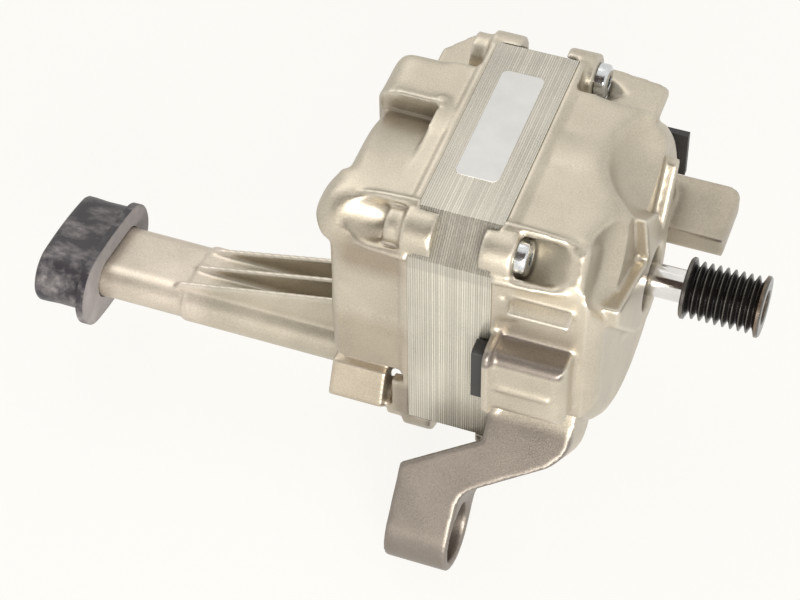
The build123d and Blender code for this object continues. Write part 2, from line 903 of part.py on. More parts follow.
# Rear shell with the long arm
tail_reach = rear_bearing_x - half_bearing - washer_thickness
tilt = math.radians(long_arm_tilt)
with BuildPart() as rear_shell:
    with BuildSketch(across(-half_core)):
        body_outline()
    extrude(amount=half_core - rear_reach)
    for cut_share in edge_shares:
        chamfer(rear_shell.faces().sort_by(Axis.X)[0].edges(), rear_round * cut_share)
    add(rear_nose(-panel, scoop_near_y, near_nose_bottom, near_nose_rise))
    add(rear_nose(scoop_far_y, top_far_edge, far_nose_bottom, far_nose_rise))

    # Scoop in the top, deep beside its far lip and running out towards the near edge
    with BuildSketch(across(-scoop_from)):
        with BuildLine():
            Line((scoop_far_y, panel - scoop_depth), (scoop_far_y, half_across + overrun))
            Line((scoop_far_y, half_across + overrun), (scoop_near_y, half_across + overrun))
            Line((scoop_near_y, half_across + overrun), (scoop_near_y, panel))
            TangentArc((scoop_near_y, panel), (scoop_far_y, panel - scoop_depth), tangent=(1, 0))
        make_face()
    extrude(amount=scoop_from - pad_from - near_nose_rise, mode=Mode.SUBTRACT)
    add(rib_set(-1, rear_reach - rear_rib_short))
    add(channel_set(-rear_lug_start, rear_rib_short - rear_reach), mode=Mode.SUBTRACT)
    with BuildSketch(across(-half_core)):
        core_outline()
    extrude(amount=-rim_width)
    with BuildSketch(across(-rear_lug_start)):
        with lug_places():
            Circle(lug_boss_radius)
    extrude(amount=rear_lug_start - lug_boss_end)
    add(lug_set(-1, -rear_lug_start, -rear_lug_end))

    # Lip along the scoop, web on the far top edge, pads at the foot of the near face
    with BuildSketch(plan(panel - scoop_depth)):
        with Locations((-(rear_reach - shell_round + scoop_from) / 2, scoop_far_y + lip_width / 2)):
            Rectangle(rear_reach - shell_round - scoop_from, lip_width)
    extrude(amount=scoop_depth + lip_rise)
    with BuildSketch(plan(web_height - web_thickness)):
        Polygon(
            (-half_core, top_far_edge),
            (-half_core, web_far_edge),
            (rear_web_short - rear_reach + lug_radius, web_far_edge),
            (rear_web_short - rear_reach, top_far_edge + corner_round),
            (rear_web_short - rear_reach, top_far_edge),
            align=None,
        )
    extrude(amount=web_thickness)
    with BuildSketch(across(-pad_from)):
        Polygon(
            (-panel + wall, pad_top),
            (-pad_out, pad_bottom + rim_width),
            (-pad_out + rim_width, pad_bottom),
            (pad_depth - pad_out, pad_bottom),
            (pad_depth - pad_out, pad_top),
            align=None,
        )
    extrude(amount=pad_length)
    with BuildSketch(upright(-panel + wall)):
        with Locations((-(half_core + small_pad_to) / 2, (small_pad_top + small_pad_bottom) / 2)):
            Rectangle(small_pad_to - half_core, small_pad_top - small_pad_bottom)
    extrude(amount=wall + panel_recess)

    # Long arm with its step and three fins
    with BuildSketch(across(-rear_reach + wall)):
        arm_oval(long_arm_width, long_arm_thickness, long_arm_y)
    extrude(amount=long_arm_end + rear_reach - wall)
    with BuildSketch(across(-rear_reach + wall)):
        arm_oval(long_arm_width + 2 * arm_step, long_arm_thickness + 2 * arm_step, long_arm_y)
    extrude(amount=arm_step_x + rear_reach - wall)
    for place in (-1, 0, 1):
        fin_y = long_arm_y + place * fin_spacing * math.cos(tilt)
        fin_z = long_arm_z + place * fin_spacing * math.sin(tilt)
        fin_top = fin_z + long_arm_thickness / 2
        with BuildSketch(upright(fin_y)):
            Polygon(
                (arm_step_x, fin_top),
                (-rear_reach + wall, fin_top + fin_height),
                (-rear_reach + wall, fin_z),
                (arm_step_x, fin_z),
                align=None,
            )
        extrude(amount=fin_thickness / 2, both=True)

    # Low hub behind the rear bearing, cavity and bearing pocket
    with BuildSketch(across(-rear_reach)):
        Circle(rear_hub_radius)
    extrude(amount=-rear_hub_rise)
    chamfer(rear_shell.faces().sort_by(Axis.X)[0].edges(), rear_hub_rise / 2)
    for end, radius in ((cavity_step_x, cavity_radius), (rear_reach - rear_end_wall, cavity_step_radius)):
        with BuildSketch(across(-half_core)):
            Circle(radius)
        extrude(amount=half_core - end, mode=Mode.SUBTRACT)
    with BuildSketch(across(rear_seat)):
        Circle(bearing_outer + hub_wall)
    extrude(amount=-rear_reach - rear_seat)
    with BuildSketch(across(-half_core)):
        Circle(bearing_outer)
    extrude(amount=tail_reach + half_core, mode=Mode.SUBTRACT)
    with BuildSketch(across(0)):
        screw_holes(screw_radius)
    extrude(amount=-lug_boss_end + rib_thickness / 2, mode=Mode.SUBTRACT)
rear_shell.part.label = "rear_shell"
export_step(rear_shell.part, "parts/rear_shell.step")


# Rubber boot on the end of the long arm
with BuildPart() as arm_bush:
    with BuildSketch(across(boot_from)):
        arm_oval(boot_width, boot_thickness, boot_y)
    extrude(amount=boot_to - boot_from)
    with BuildSketch(across(boot_to)):
        arm_oval(boot_flange_width, boot_flange_thickness, boot_y)
    extrude(amount=-boot_flange_depth)
    with BuildSketch(across(boot_from)):
        arm_oval(long_arm_width, long_arm_thickness, long_arm_y)
    extrude(amount=boot_to - boot_from, mode=Mode.SUBTRACT)
arm_bush.part.label = "arm_bush"
export_step(arm_bush.part, "parts/arm_bush.step")


# Four screws through the front lugs into the rear bosses
with BuildPart() as housing_screws:
    with BuildSketch(across(front_lug_end)):
        with lug_places():
            RegularPolygon(screw_radius, hole_sides)
    extrude(amount=-front_lug_end - lug_boss_end + rib_thickness)
    with BuildSketch(across(front_lug_end)):
        with lug_places():
            Circle(head_radius)
    extrude(amount=head_height)
    with BuildSketch(across(front_lug_end + head_height)):
        with lug_places():
            RegularPolygon(recess_radius, 6)
    extrude(amount=-recess_depth, mode=Mode.SUBTRACT)
housing_screws.part.label = "housing_screws"
export_step(housing_screws.part, "parts/housing_screws.step")


# Terminal block with four flat pins in an open pocket
block_end = hood_to - hood_wall - gap
socket_y = -(hood_out - hood_wall + socket_in) / 2
socket_z = (hood_top + hood_bottom) / 2
block_depth = hood_out - hood_wall - socket_in - gap
block_height = hood_top - hood_bottom - 2 * hood_wall - gap
with BuildPart() as terminal_block:
    with BuildSketch(across(block_from)):
        with Locations((socket_y, socket_z)):
            Rectangle(block_depth, block_height)
        fillet(vertices(), hood_rim)
    extrude(amount=block_end - block_from)
    with BuildSketch(across(block_from)):
        with Locations((socket_y, socket_z)):
            Rectangle(block_depth - 2 * block_wall, block_height - 2 * block_wall)
    extrude(amount=block_end - block_from - block_floor, mode=Mode.SUBTRACT)
    with BuildSketch(across(block_end - block_floor)):
        with Locations((socket_y, socket_z)):
            with GridLocations(pin_pitch, pin_pitch, 1, pin_count):
                Rectangle(pin_thickness, pin_width)
    extrude(amount=block_floor, mode=Mode.SUBTRACT)
terminal_block.part.label = "terminal_block"
export_step(terminal_block.part, "parts/terminal_block.step")

with BuildPart() as terminal_pins:
    with BuildSketch(across(pin_from)):
        with Locations((socket_y, socket_z)):
            with GridLocations(pin_pitch, pin_pitch, 1, pin_count):
                Rectangle(pin_thickness, pin_width)
    extrude(amount=block_end - pin_from)
terminal_pins.part.label = "terminal_pins"
export_step(terminal_pins.part, "parts/terminal_pins.step")


# Plastic clip on the far side of the front shell
with BuildPart() as side_clip:
    with BuildSketch(plan(clip_bottom)):
        with Locations((clip_to - clip_length / 2, body_radius + clip_out / 2)):
            Rectangle(clip_length, clip_out)
    extrude(amount=clip_top - clip_bottom)
    chamfer(side_clip.faces().sort_by(Axis.Y)[-1].edges(), clip_chamfer)
side_clip.part.label = "side_clip"
export_step(side_clip.part, "parts/side_clip.step")


# Blank label on the top of the core
with BuildPart() as rating_label:
    with BuildSketch(plan(half_across)):
        with Locations((label_x, label_y)):
            RectangleRounded(label_width, label_length, label_corner)
    extrude(amount=label_thickness)
rating_label.part.label = "rating_label"
export_step(rating_label.part, "parts/rating_label.step")
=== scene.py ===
import math

import bmesh
import bpy
import numpy as np
from mathutils import Matrix, Vector


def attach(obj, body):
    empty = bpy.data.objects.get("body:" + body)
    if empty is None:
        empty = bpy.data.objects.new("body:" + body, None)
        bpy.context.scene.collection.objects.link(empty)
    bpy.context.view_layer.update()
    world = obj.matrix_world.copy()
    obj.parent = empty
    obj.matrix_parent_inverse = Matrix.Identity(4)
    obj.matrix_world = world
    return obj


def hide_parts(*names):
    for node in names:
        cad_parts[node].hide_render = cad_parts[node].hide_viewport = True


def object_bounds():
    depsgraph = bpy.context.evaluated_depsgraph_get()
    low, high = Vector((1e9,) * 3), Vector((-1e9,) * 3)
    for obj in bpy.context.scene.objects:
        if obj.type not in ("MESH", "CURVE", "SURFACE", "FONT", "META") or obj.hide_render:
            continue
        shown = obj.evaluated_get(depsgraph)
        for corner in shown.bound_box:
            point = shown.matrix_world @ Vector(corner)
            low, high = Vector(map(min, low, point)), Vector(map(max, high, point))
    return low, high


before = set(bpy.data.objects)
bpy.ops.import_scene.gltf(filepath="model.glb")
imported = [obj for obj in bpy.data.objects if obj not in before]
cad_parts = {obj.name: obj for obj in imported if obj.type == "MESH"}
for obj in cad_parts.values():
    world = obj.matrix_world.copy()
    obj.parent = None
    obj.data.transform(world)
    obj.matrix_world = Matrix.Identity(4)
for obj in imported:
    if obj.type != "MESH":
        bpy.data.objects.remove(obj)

cadBox = [list(corner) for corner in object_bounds()]
print("frame loaded:", len(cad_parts), "nodes")

# Everything is in metres. The belt's middle plane is x = 0 and the shaft is the x axis.
mm = 0.001
coreMiddle = -69.6 * mm
coreLength = 24.7 * mm
coreSheetCount = 36
armMiddle = (-14.4 * mm, -38.4 * mm)
armTilt = -9.0
weldGap = 0.0001 * mm
emptyEdge = 0.00001 * mm
scene = bpy.context.scene


# Mesh helpers

def addPiece(name, data):
    # An object in the scene for a mesh, a light or a camera.
    piece = bpy.data.objects.new(name, data)
    scene.collection.objects.link(piece)
    return piece


def finishShading(mesh, smoothAngle):
    mesh.polygons.foreach_set("use_smooth", np.ones(len(mesh.polygons), bool))
    mesh.set_sharp_from_angle(angle=math.radians(smoothAngle))
    mesh.update()


def flatPiece(name, corners):
    # One flat face through its four corners.
    mesh = bpy.data.meshes.new(name)
    mesh.from_pydata([list(corner) for corner in corners], [], [list(range(len(corners)))])
    return addPiece(name, mesh)


def gridFaces(rows, columns):
    # Quads of a rows x columns grid of points whose last column joins its first.
    row, column = np.meshgrid(np.arange(rows - 1), np.arange(columns), indexing="ij")
    here = row * columns + column
    beside = row * columns + (column + 1) % columns
    return np.stack([here, beside, beside + columns, here + columns], axis=-1).reshape(-1, 4)


def turnedPoints(profile, segments):
    # Point(i, angle) = (x_i, r_i cos angle, r_i sin angle) for each (x, r) of the profile.
    angle = np.linspace(0, 2 * math.pi, segments, endpoint=False)
    x, r = np.repeat(profile[:, :1], segments, axis=1), profile[:, 1]
    return np.stack([x, np.outer(r, np.cos(angle)), np.outer(r, np.sin(angle))], axis=-1)


def closedGrid(name, points, smoothAngle=35.0):
    # A grid of rings made a closed body: its first and last ring get a fan of triangles to their mean.
    rows, columns = points.shape[:2]
    flat = np.vstack([points.reshape(-1, 3), points[0].mean(axis=0), points[-1].mean(axis=0)])
    first = np.arange(columns)
    last = first + (rows - 1) * columns
    fans = np.concatenate([
        np.stack([np.roll(first, -1), first, np.full(columns, rows * columns)], axis=-1),
        np.stack([last, np.roll(last, -1), np.full(columns, rows * columns + 1)], axis=-1)])
    return solidFrom(name, flat, gridFaces(rows, columns).tolist() + fans.tolist(), smoothAngle)


def turnedPiece(name, profile, segments, smoothAngle):
    # A closed body of revolution: the profile starts and ends on the axis (r = 0) or closes on itself.
    return solidFrom(name, turnedPoints(profile, segments), gridFaces(len(profile), segments), smoothAngle)


def solidFrom(name, points, faces, smoothAngle=35.0):
    # Merges equal points, drops empty faces and turns the normals outwards.
    mesh = bpy.data.meshes.new(name)
    mesh.from_pydata(np.asarray(points).reshape(-1, 3).tolist(), [], [list(face) for face in faces])
    work = bmesh.new()
    work.from_mesh(mesh)
    bmesh.ops.remove_doubles(work, verts=work.verts, dist=weldGap)
    bmesh.ops.dissolve_degenerate(work, edges=work.edges, dist=emptyEdge)
    bmesh.ops.recalc_face_normals(work, faces=work.faces)
    work.to_mesh(mesh)
    work.free()
    finishShading(mesh, smoothAngle)
    return addPiece(name, mesh)


# Shader node groups

def newGroup(name, inputs, outputs):
    # A node group whose sockets are given by name and kind. Every use sets or links all of its inputs.
    group = bpy.data.node_groups.new(name, "ShaderNodeTree")
    for direction, sockets in (("INPUT", inputs), ("OUTPUT", outputs)):
        for socketName, kind in sockets.items():
            group.interface.new_socket(name=socketName, in_out=direction, socket_type="NodeSocket" + kind)
    return group, group.nodes.new("NodeGroupInput"), group.nodes.new("NodeGroupOutput")


def setInputs(tree, node, values):
    # By a socket's name or number: another node's output is linked to it and a plain value is written.
    for key, value in values.items():
        if isinstance(value, bpy.types.NodeSocket):
            tree.links.new(value, node.inputs[key])
        else:
            node.inputs[key].default_value = value
    return node


def addNode(tree, kind, **inputs):
    return setInputs(tree, tree.nodes.new(kind), inputs)


def mathNode(tree, operation, first, second=0.5):
    node = tree.nodes.new("ShaderNodeMath")
    node.operation = operation
    return setInputs(tree, node, {0: first, 1: second}).outputs[0]


def mapRange(tree, value, low, high, toLow=0.0, toHigh=1.0):
    inputs = dict(enumerate((value, low, high, toLow, toHigh)))
    return setInputs(tree, tree.nodes.new("ShaderNodeMapRange"), inputs).outputs[0]


def mixColor(tree, factor, first, second, blendType="MIX"):
    # Sockets 6 and 7, and output 2, are the colour ones of this node.
    node = tree.nodes.new("ShaderNodeMix")
    node.data_type, node.blend_type = "RGBA", blendType
    return setInputs(tree, node, {0: factor, 6: first, 7: second}).outputs[2]


def noiseNode(tree, vector, scale, detail=3.0, roughness=0.5):
    node = addNode(tree, "ShaderNodeTexNoise", Vector=vector, Scale=scale, Detail=detail, Roughness=roughness)
    return node.outputs["Fac"]


def objectPlace(tree):
    return tree.nodes.new("ShaderNodeTexCoord").outputs["Object"]


def splitVector(tree, vector):
    return addNode(tree, "ShaderNodeSeparateXYZ", Vector=vector).outputs


grainLook = {
    "speckNoise": (2.0, 0.6),
    "cloudNoise": (4.0, 0.55),
    "cloudRange": (0.32, 0.68),
    "speckRange": (0.3, 0.7),
    "cloudShare": 0.5,
    "speckShare": 0.5,
    "bumpDistance": 0.12 * mm,
}


def grainGroup(look):
    # Fine grain for the bump, and slow clouds that shift the colour and roughness of one material.
    group, given, result = newGroup(
        "metalGrain",
        {"Light Color": "Color", "Dark Color": "Color", "Grain Scale": "Float", "Cloud Scale": "Float",
         "Grain Depth": "Float", "Low Roughness": "Float", "High Roughness": "Float"},
        {"Color": "Color", "Roughness": "Float", "Normal": "Vector"})
    place = objectPlace(group)
    fine = noiseNode(group, place, given.outputs["Grain Scale"], *look["speckNoise"])
    cloud = noiseNode(group, place, given.outputs["Cloud Scale"], *look["cloudNoise"])
    shade = mathNode(group, "MULTIPLY", mapRange(group, cloud, *look["cloudRange"]), look["cloudShare"])
    speck = mathNode(group, "MULTIPLY", mapRange(group, fine, *look["speckRange"]), look["speckShare"])
    mixed = mathNode(group, "ADD", shade, speck)
    color = mixColor(group, mixed, given.outputs["Dark Color"], given.outputs["Light Color"])
    span = mathNode(group, "SUBTRACT", given.outputs["High Roughness"], given.outputs["Low Roughness"])
    rough = mathNode(group, "ADD", given.outputs["Low Roughness"], mathNode(group, "MULTIPLY", mixed, span))
    bump = addNode(group, "ShaderNodeBump", Distance=look["bumpDistance"], Height=fine,
                   Strength=given.outputs["Grain Depth"])
    setInputs(group, result, {"Color": color, "Roughness": rough, "Normal": bump.outputs["Normal"]})
    return group


wearAndShadeLook = {
    "proudRange": (0.515, 0.6),
    # the curvature range of the hollows that get painted shade
    "hollowShadeRange": (0.485, 0.42),
    "patchScale": 260.0,
    "patchRange": (0.35, 0.65),
    "leastPatch": 0.55,
}


def wearAndShadeGroup(look):
    # Brightens corners that stand proud as wear, and darkens hollows with painted shade, from the curvature
    # of the mesh.
    group, given, result = newGroup(
        "edgeWear",
        {"Color": "Color", "Worn Color": "Color", "Hollow Shade Color": "Color", "Wear": "Float", "Hollow Shade": "Float"},
        {"Color": "Color"})
    curvature = group.nodes.new("ShaderNodeNewGeometry").outputs["Pointiness"]
    patches = noiseNode(group, objectPlace(group), look["patchScale"])
    patchy = mapRange(group, patches, *look["patchRange"], look["leastPatch"], 1.0)
    proud = mathNode(group, "MULTIPLY", mapRange(group, curvature, *look["proudRange"]), patchy)
    # Painted shade in the hollows, from the curvature alone.
    hollowShadeMask = mapRange(group, curvature, *look["hollowShadeRange"])
    worn = mixColor(group, mathNode(group, "MULTIPLY", proud, given.outputs["Wear"]), given.outputs["Color"],
                    given.outputs["Worn Color"])
    wornAndShaded = mixColor(group, mathNode(group, "MULTIPLY", hollowShadeMask, given.outputs["Hollow Shade"]), worn,
                     given.outputs["Hollow Shade Color"])
    setInputs(group, result, {"Color": wornAndShaded})
    return group


metalGrain = grainGroup(grainLook)
edgeWear = wearAndShadeGroup(wearAndShadeLook)


def placeGroup(tree, group, values):
    node = tree.nodes.new("ShaderNodeGroup")
    node.node_tree = group
    return setInputs(tree, node, values).outputs


def newMaterial(name):
    material = bpy.data.materials.new(name)
    material.use_nodes = True
    return material, material.node_tree, material.node_tree.nodes["Principled BSDF"]


def boxMask(tree, area):
    # 1 inside the box from low to high, falling to 0 over the soft distance outside it.
    place = splitVector(tree, objectPlace(tree))
    mask = None
    for axis, (low, high) in enumerate(zip(area["low"], area["high"])):
        rise = mapRange(tree, place[axis], low - area["soft"], low)
        fall = mapRange(tree, place[axis], high + area["soft"], high)
        both = mathNode(tree, "MULTIPLY", rise, fall)
        mask = both if mask is None else mathNode(tree, "MULTIPLY", mask, both)
    return mask


def grainMaterial(name, look):
    # One Principled material fed by the grain group, and by the wear and painted shade group where the look
    # asks for it.
    material, tree, shader = newMaterial(name)
    lowRoughness, highRoughness = look["roughness"]
    grain = placeGroup(tree, metalGrain, {
        "Light Color": (*look["light"], 1), "Dark Color": (*look["dark"], 1),
        "Grain Scale": look["grainScale"], "Cloud Scale": look["cloudScale"],
        "Grain Depth": look["grainDepth"], "Low Roughness": lowRoughness, "High Roughness": highRoughness})
    color = grain["Color"]
    if "wear" in look:
        color = placeGroup(tree, edgeWear, {
            "Color": color, "Worn Color": (*look["wornColor"], 1), "Hollow Shade Color": (*look["hollowShadeColor"], 1),
            "Wear": look["wear"], "Hollow Shade": look["hollowShade"]})["Color"]
    # Each box multiplies the colour inside it: a real colour in some looks, painted light and shade in
    # others.
    for area in look.get("tintsAndPaintedLight", ()):
        boxTintedColor = mixColor(tree, 1.0, color, (*area["color"], 1), "MULTIPLY")
        color = mixColor(tree, boxMask(tree, area), color, boxTintedColor)
    if "lineColor" in look:
        color = sheetLines(tree, color, look)
    setInputs(tree, shader, {"Base Color": color, "Metallic": look["metallic"],
                             "Roughness": grain["Roughness"], "Normal": grain["Normal"]})
    return material


def sheetLines(tree, color, look):
    # A dark line at each joint between sheets, and a slightly different tone for each sheet.
    place = objectPlace(tree)
    count = mathNode(tree, "DIVIDE", splitVector(tree, place)[0], coreLength / coreSheetCount)
    fromMiddle = mathNode(tree, "SUBTRACT", mathNode(tree, "FRACT", count), 0.5)
    line = mapRange(tree, mathNode(tree, "ABSOLUTE", fromMiddle), *look["lineRange"])
    tone = tree.nodes.new("ShaderNodeTexWhiteNoise")
    tone.noise_dimensions = "1D"
    setInputs(tree, tone, {"W": mathNode(tree, "FLOOR", count)})
    band = mapRange(tree, tone.outputs["Value"], 0.0, 1.0, 0.0, look["toneShare"])
    streaks = noiseNode(tree, place, look["streakScale"])
    streak = mapRange(tree, streaks, *look["streakRange"], look["leastStreak"], 1.0)
    lineColor = (*look["lineColor"], 1)
    toned = mixColor(tree, band, color, lineColor)
    return mixColor(tree, mathNode(tree, "MULTIPLY", line, streak), toned, lineColor)


castAluminium = grainMaterial("castAluminium", {
    "light": (0.65, 0.59, 0.485), "dark": (0.39, 0.352, 0.282), "metallic": 0.8, "roughness": (0.34, 0.46),
    "grainScale": 2300.0, "cloudScale": 38.0, "grainDepth": 0.26,
    # The worn colour lightens proud edges as wear; the hollow colour darkens hollows as painted shade.
    "wornColor": (0.9, 0.87, 0.82), "hollowShadeColor": (0.13, 0.1, 0.085), "wear": 0.5, "hollowShade": 0.6,
    "tintsAndPaintedLight": (
        # the eye arm, darker than the rest: painted shade
        {"low": (-0.085, -0.09, -0.08), "high": (-0.03, -0.047, -0.024), "soft": 4 * mm,
         "color": (0.44, 0.425, 0.45)},
        # the tongue, a little darker: painted reflection
        {"low": (-0.031, 0.02, -0.02), "high": (0.0, 0.06, -0.002), "soft": 4 * mm,
         "color": (0.9, 0.88, 0.87)},
        # the top of the plug housing, darker: painted shade and reflection from the wall above it
        {"low": (-0.058, -0.056, 0.009), "high": (-0.034, -0.045, 0.0125), "soft": 1 * mm,
         "color": (0.5, 0.48, 0.51)},
        # the rear shell's top and scoop, darker: painted shade inside the scoop
        {"low": (-0.12, -0.03, 0.02), "high": (-0.09, 0.02, 0.039), "soft": 4 * mm,
         "color": (0.8, 0.78, 0.76)},
        # the rear shell's near face, low down and under the lower blade, darker: painted shade
        {"low": (-0.112, -0.06, -0.06), "high": (-0.084, -0.036, 0.0), "soft": 6 * mm,
         "color": (0.84, 0.81, 0.78)},
        {"low": (-0.1, -0.06, 0.026), "high": (-0.086, -0.04, 0.0315), "soft": 6 * mm,
         "color": (0.72, 0.67, 0.63)},
        # the long arm beside the boot, lighter: painted light
        {"low": (-0.192, -0.04, -0.037), "high": (-0.158, 0.01, -0.02), "soft": 5 * mm,
         "color": (1.22, 1.2, 1.24)})})
zincSteel = grainMaterial("zincSteel", {
    "light": (0.75, 0.77, 0.78), "dark": (0.5, 0.52, 0.53), "metallic": 1.0, "roughness": (0.16, 0.3),
    "grainScale": 2500.0, "cloudScale": 300.0, "grainDepth": 0.08})
groundSteel = grainMaterial("groundSteel", {
    "light": (0.82, 0.81, 0.79), "dark": (0.66, 0.65, 0.63), "metallic": 1.0, "roughness": (0.08, 0.16),
    "grainScale": 3000.0, "cloudScale": 200.0, "grainDepth": 0.04})
bearingSteel = grainMaterial("bearingSteel", {
    "light": (0.7, 0.7, 0.7), "dark": (0.5, 0.5, 0.5), "metallic": 1.0, "roughness": (0.14, 0.24),
    "grainScale": 2600.0, "cloudScale": 160.0, "grainDepth": 0.05})
blackOxide = grainMaterial("blackOxide", {
    "light": (0.03, 0.027, 0.025), "dark": (0.01, 0.009, 0.009), "metallic": 0.55, "roughness": (0.16, 0.32),
    "grainScale": 1800.0, "cloudScale": 120.0, "grainDepth": 0.1,
    # The worn colour lightens proud edges as wear; the hollow colour darkens hollows as painted shade.
    "wornColor": (0.5, 0.47, 0.42), "hollowShadeColor": (0.004, 0.004, 0.004), "wear": 0.4, "hollowShade": 0.5,
    "tintsAndPaintedLight": (
        # the browner outer flange
        {"low": (0.0095, -0.02, -0.02), "high": (0.0112, 0.02, 0.02), "soft": 0.4 * mm,
         "color": (1.35, 1.1, 0.9)},)})
coreSteel = grainMaterial("coreSteel", {
    "light": (0.68, 0.65, 0.57), "dark": (0.52, 0.5, 0.43), "metallic": 0.75, "roughness": (0.26, 0.4),
    "grainScale": 1500.0, "cloudScale": 60.0, "grainDepth": 0.12,
    "lineColor": (0.24, 0.225, 0.195), "lineRange": (0.3, 0.46), "toneShare": 0.3,
    "streakScale": 55.0, "streakRange": (0.35, 0.65), "leastStreak": 0.45,
    "tintsAndPaintedLight": (
        # the near side, lighter: painted light
        {"low": (-0.09, -0.06, -0.05), "high": (-0.05, -0.045, 0.03), "soft": 1 * mm,
         "color": (1.18, 1.18, 1.18)},)})
blackPlastic = grainMaterial("blackPlastic", {
    "light": (0.035, 0.033, 0.032), "dark": (0.02, 0.019, 0.019), "metallic": 0.0, "roughness": (0.4, 0.55),
    "grainScale": 1500.0, "cloudScale": 80.0, "grainDepth": 0.12})
whiteNylon = grainMaterial("whiteNylon", {
    "light": (0.78, 0.76, 0.7), "dark": (0.66, 0.64, 0.58), "metallic": 0.0, "roughness": (0.4, 0.55),
    "grainScale": 1200.0, "cloudScale": 70.0, "grainDepth": 0.08})
copperWire = grainMaterial("copperWire", {
    "light": (0.62, 0.24, 0.08), "dark": (0.4, 0.13, 0.04), "metallic": 0.8, "roughness": (0.22, 0.36),
    "grainScale": 1400.0, "cloudScale": 90.0, "grainDepth": 0.3})
darkFerrite = grainMaterial("darkFerrite", {
    "light": (0.075, 0.072, 0.07), "dark": (0.045, 0.043, 0.042), "metallic": 0.0, "roughness": (0.5, 0.68),
    "grainScale": 1600.0, "cloudScale": 90.0, "grainDepth": 0.3})
tinPlate = grainMaterial("tinPlate", {
    "light": (0.8, 0.79, 0.76), "dark": (0.6, 0.59, 0.56), "metallic": 1.0, "roughness": (0.2, 0.32),
    "grainScale": 2200.0, "cloudScale": 260.0, "grainDepth": 0.06})
cagePlastic = grainMaterial("cagePlastic", {
    "light": (0.2, 0.09, 0.04), "dark": (0.13, 0.06, 0.03), "metallic": 0.0, "roughness": (0.4, 0.5),
    "grainScale": 1600.0, "cloudScale": 120.0, "grainDepth": 0.08})
print("materials made")


def dress(piece, body, material):
    piece.data.materials.clear()
    piece.data.materials.append(material)
    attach(piece, body)


# Cast shells: a copy of each CAD shell with its cast corners worked in, made one skin and eased.
# Along the shaft their numbers count from the middle of the core.

castShells = {
    "voxel": {"front_shell": 0.75 * mm, "rear_shell": 0.72 * mm},
    "weld": 0.001 * mm,
    "crispPasses": 4,
    "crispSteps": (0.62, -0.35),
    "softPasses": 26,
    "softStep": 0.6,
    "smoothAngle": 60.0,
    "crestPoints": 7,
}
nearTopCorner = {
    "front": {"span": (17.6 * mm, 40.5 * mm), "floor": 46.8 * mm, "rise": 10.8 * mm,
              "riseSpan": (19.0 * mm, 39.5 * mm), "fillSpan": (21.5 * mm, 38.0 * mm)},
    "rear": {"span": (-15.1 * mm, -42.0 * mm), "floor": 51.6 * mm, "rise": 6.0 * mm,
             "riseSpan": (-21.0 * mm, -39.0 * mm), "fillSpan": (-20.0 * mm, -36.0 * mm)},
    "halfWidth": 11.0 * mm,
    "outside": 75.0 * mm,
    "outsideGap": 1.0 * mm,
    "inside": 42.0 * mm,
    "channelRound": (6.7 * mm, 10.5 * mm),
    "roundShare": 0.97,
    "wallSlope": 6.0,
    "fillHalf": 6.4 * mm,
    "fillTop": 54.6 * mm,
}
cornerRibs = {
    "front": (12.2 * mm, 34.5 * mm),
    "rear": (-12.2 * mm, -30.5 * mm),
    "root": 32.8 * mm,
    "foot": 42.9 * mm,
    "thickness": 2.5 * mm,
    "tipThickness": 1.3 * mm,
    "height": 46.2 * mm,
    "tipHeight": 44.2 * mm,
}
armFins = {
    "starts": (-97.0 * mm, -94.5 * mm, -92.5 * mm),
    "end": -33.0 * mm,
    "spacing": 9.6 * mm,
    "armHalf": 6.0 * mm,
    "sunk": 3.0 * mm,
    "thickness": 2.0 * mm,
    "startHeight": 1.7 * mm,
    "endHeight": 15.9 * mm,
    "lead": 1.6 * mm,
    "leadDrop": 0.9,
}
scoopBar = {
    "from": -20.0 * mm, "to": -35.5 * mm, "y": 6.9 * mm, "z": 44.3 * mm, "radius": 1.75 * mm,
    "postX": -20.2 * mm, "postRadius": 2.1 * mm, "postTop": 45.4 * mm, "postFoot": 38.0 * mm,
    "postBevel": 0.5 * mm,
}
cornerBoss = {"place": 37.3 * mm, "radius": 6.0 * mm, "from": -13.0 * mm, "to": -20.6 * mm, "bevel": 0.6 * mm}
noseRounds = {
    "near": {"x": -42.5 * mm, "z": 44.4 * mm, "radius": 9.5 * mm, "span": (-50.0 * mm, -27.0 * mm)},
    "far": {"x": -40.0 * mm, "z": 44.4 * mm, "radius": 5.8 * mm, "span": (4.0 * mm, 40.0 * mm)},
    "overlap": 0.02 * mm,
    "depth": 14.0 * mm,
}


def smoothStep(low, high, value):
    # 3 s^2 - 2 s^3 at the share s of the way from low to high.
    share = np.clip((value - low) / (high - low), 0.0, 1.0)
    return share * share * (3 - 2 * share)


def cornerPoint(x, outward, lateral):
    # Point = (x, (lateral - outward) / sqrt 2, (lateral + outward) / sqrt 2), outward through the near top
    # corner and lateral across it.
    half = math.sqrt(0.5)
    return np.stack([x + coreMiddle, half * (lateral - outward), half * (lateral + outward)], axis=-1)


def slabSolid(name, inner, outer):
    # A closed body between two grids of points, as (rows, columns, 3) each.
    rows, columns = inner.shape[:2]
    loop = np.concatenate([inner, outer[:, ::-1]], axis=1)
    column = np.arange(columns - 1)
    facing = 2 * columns - 1 - column
    end = np.stack([column, column + 1, facing - 1, facing], axis=-1)
    faces = [gridFaces(rows, 2 * columns), end, end + (rows - 1) * 2 * columns]
    return solidFrom(name, loop, np.concatenate(faces))


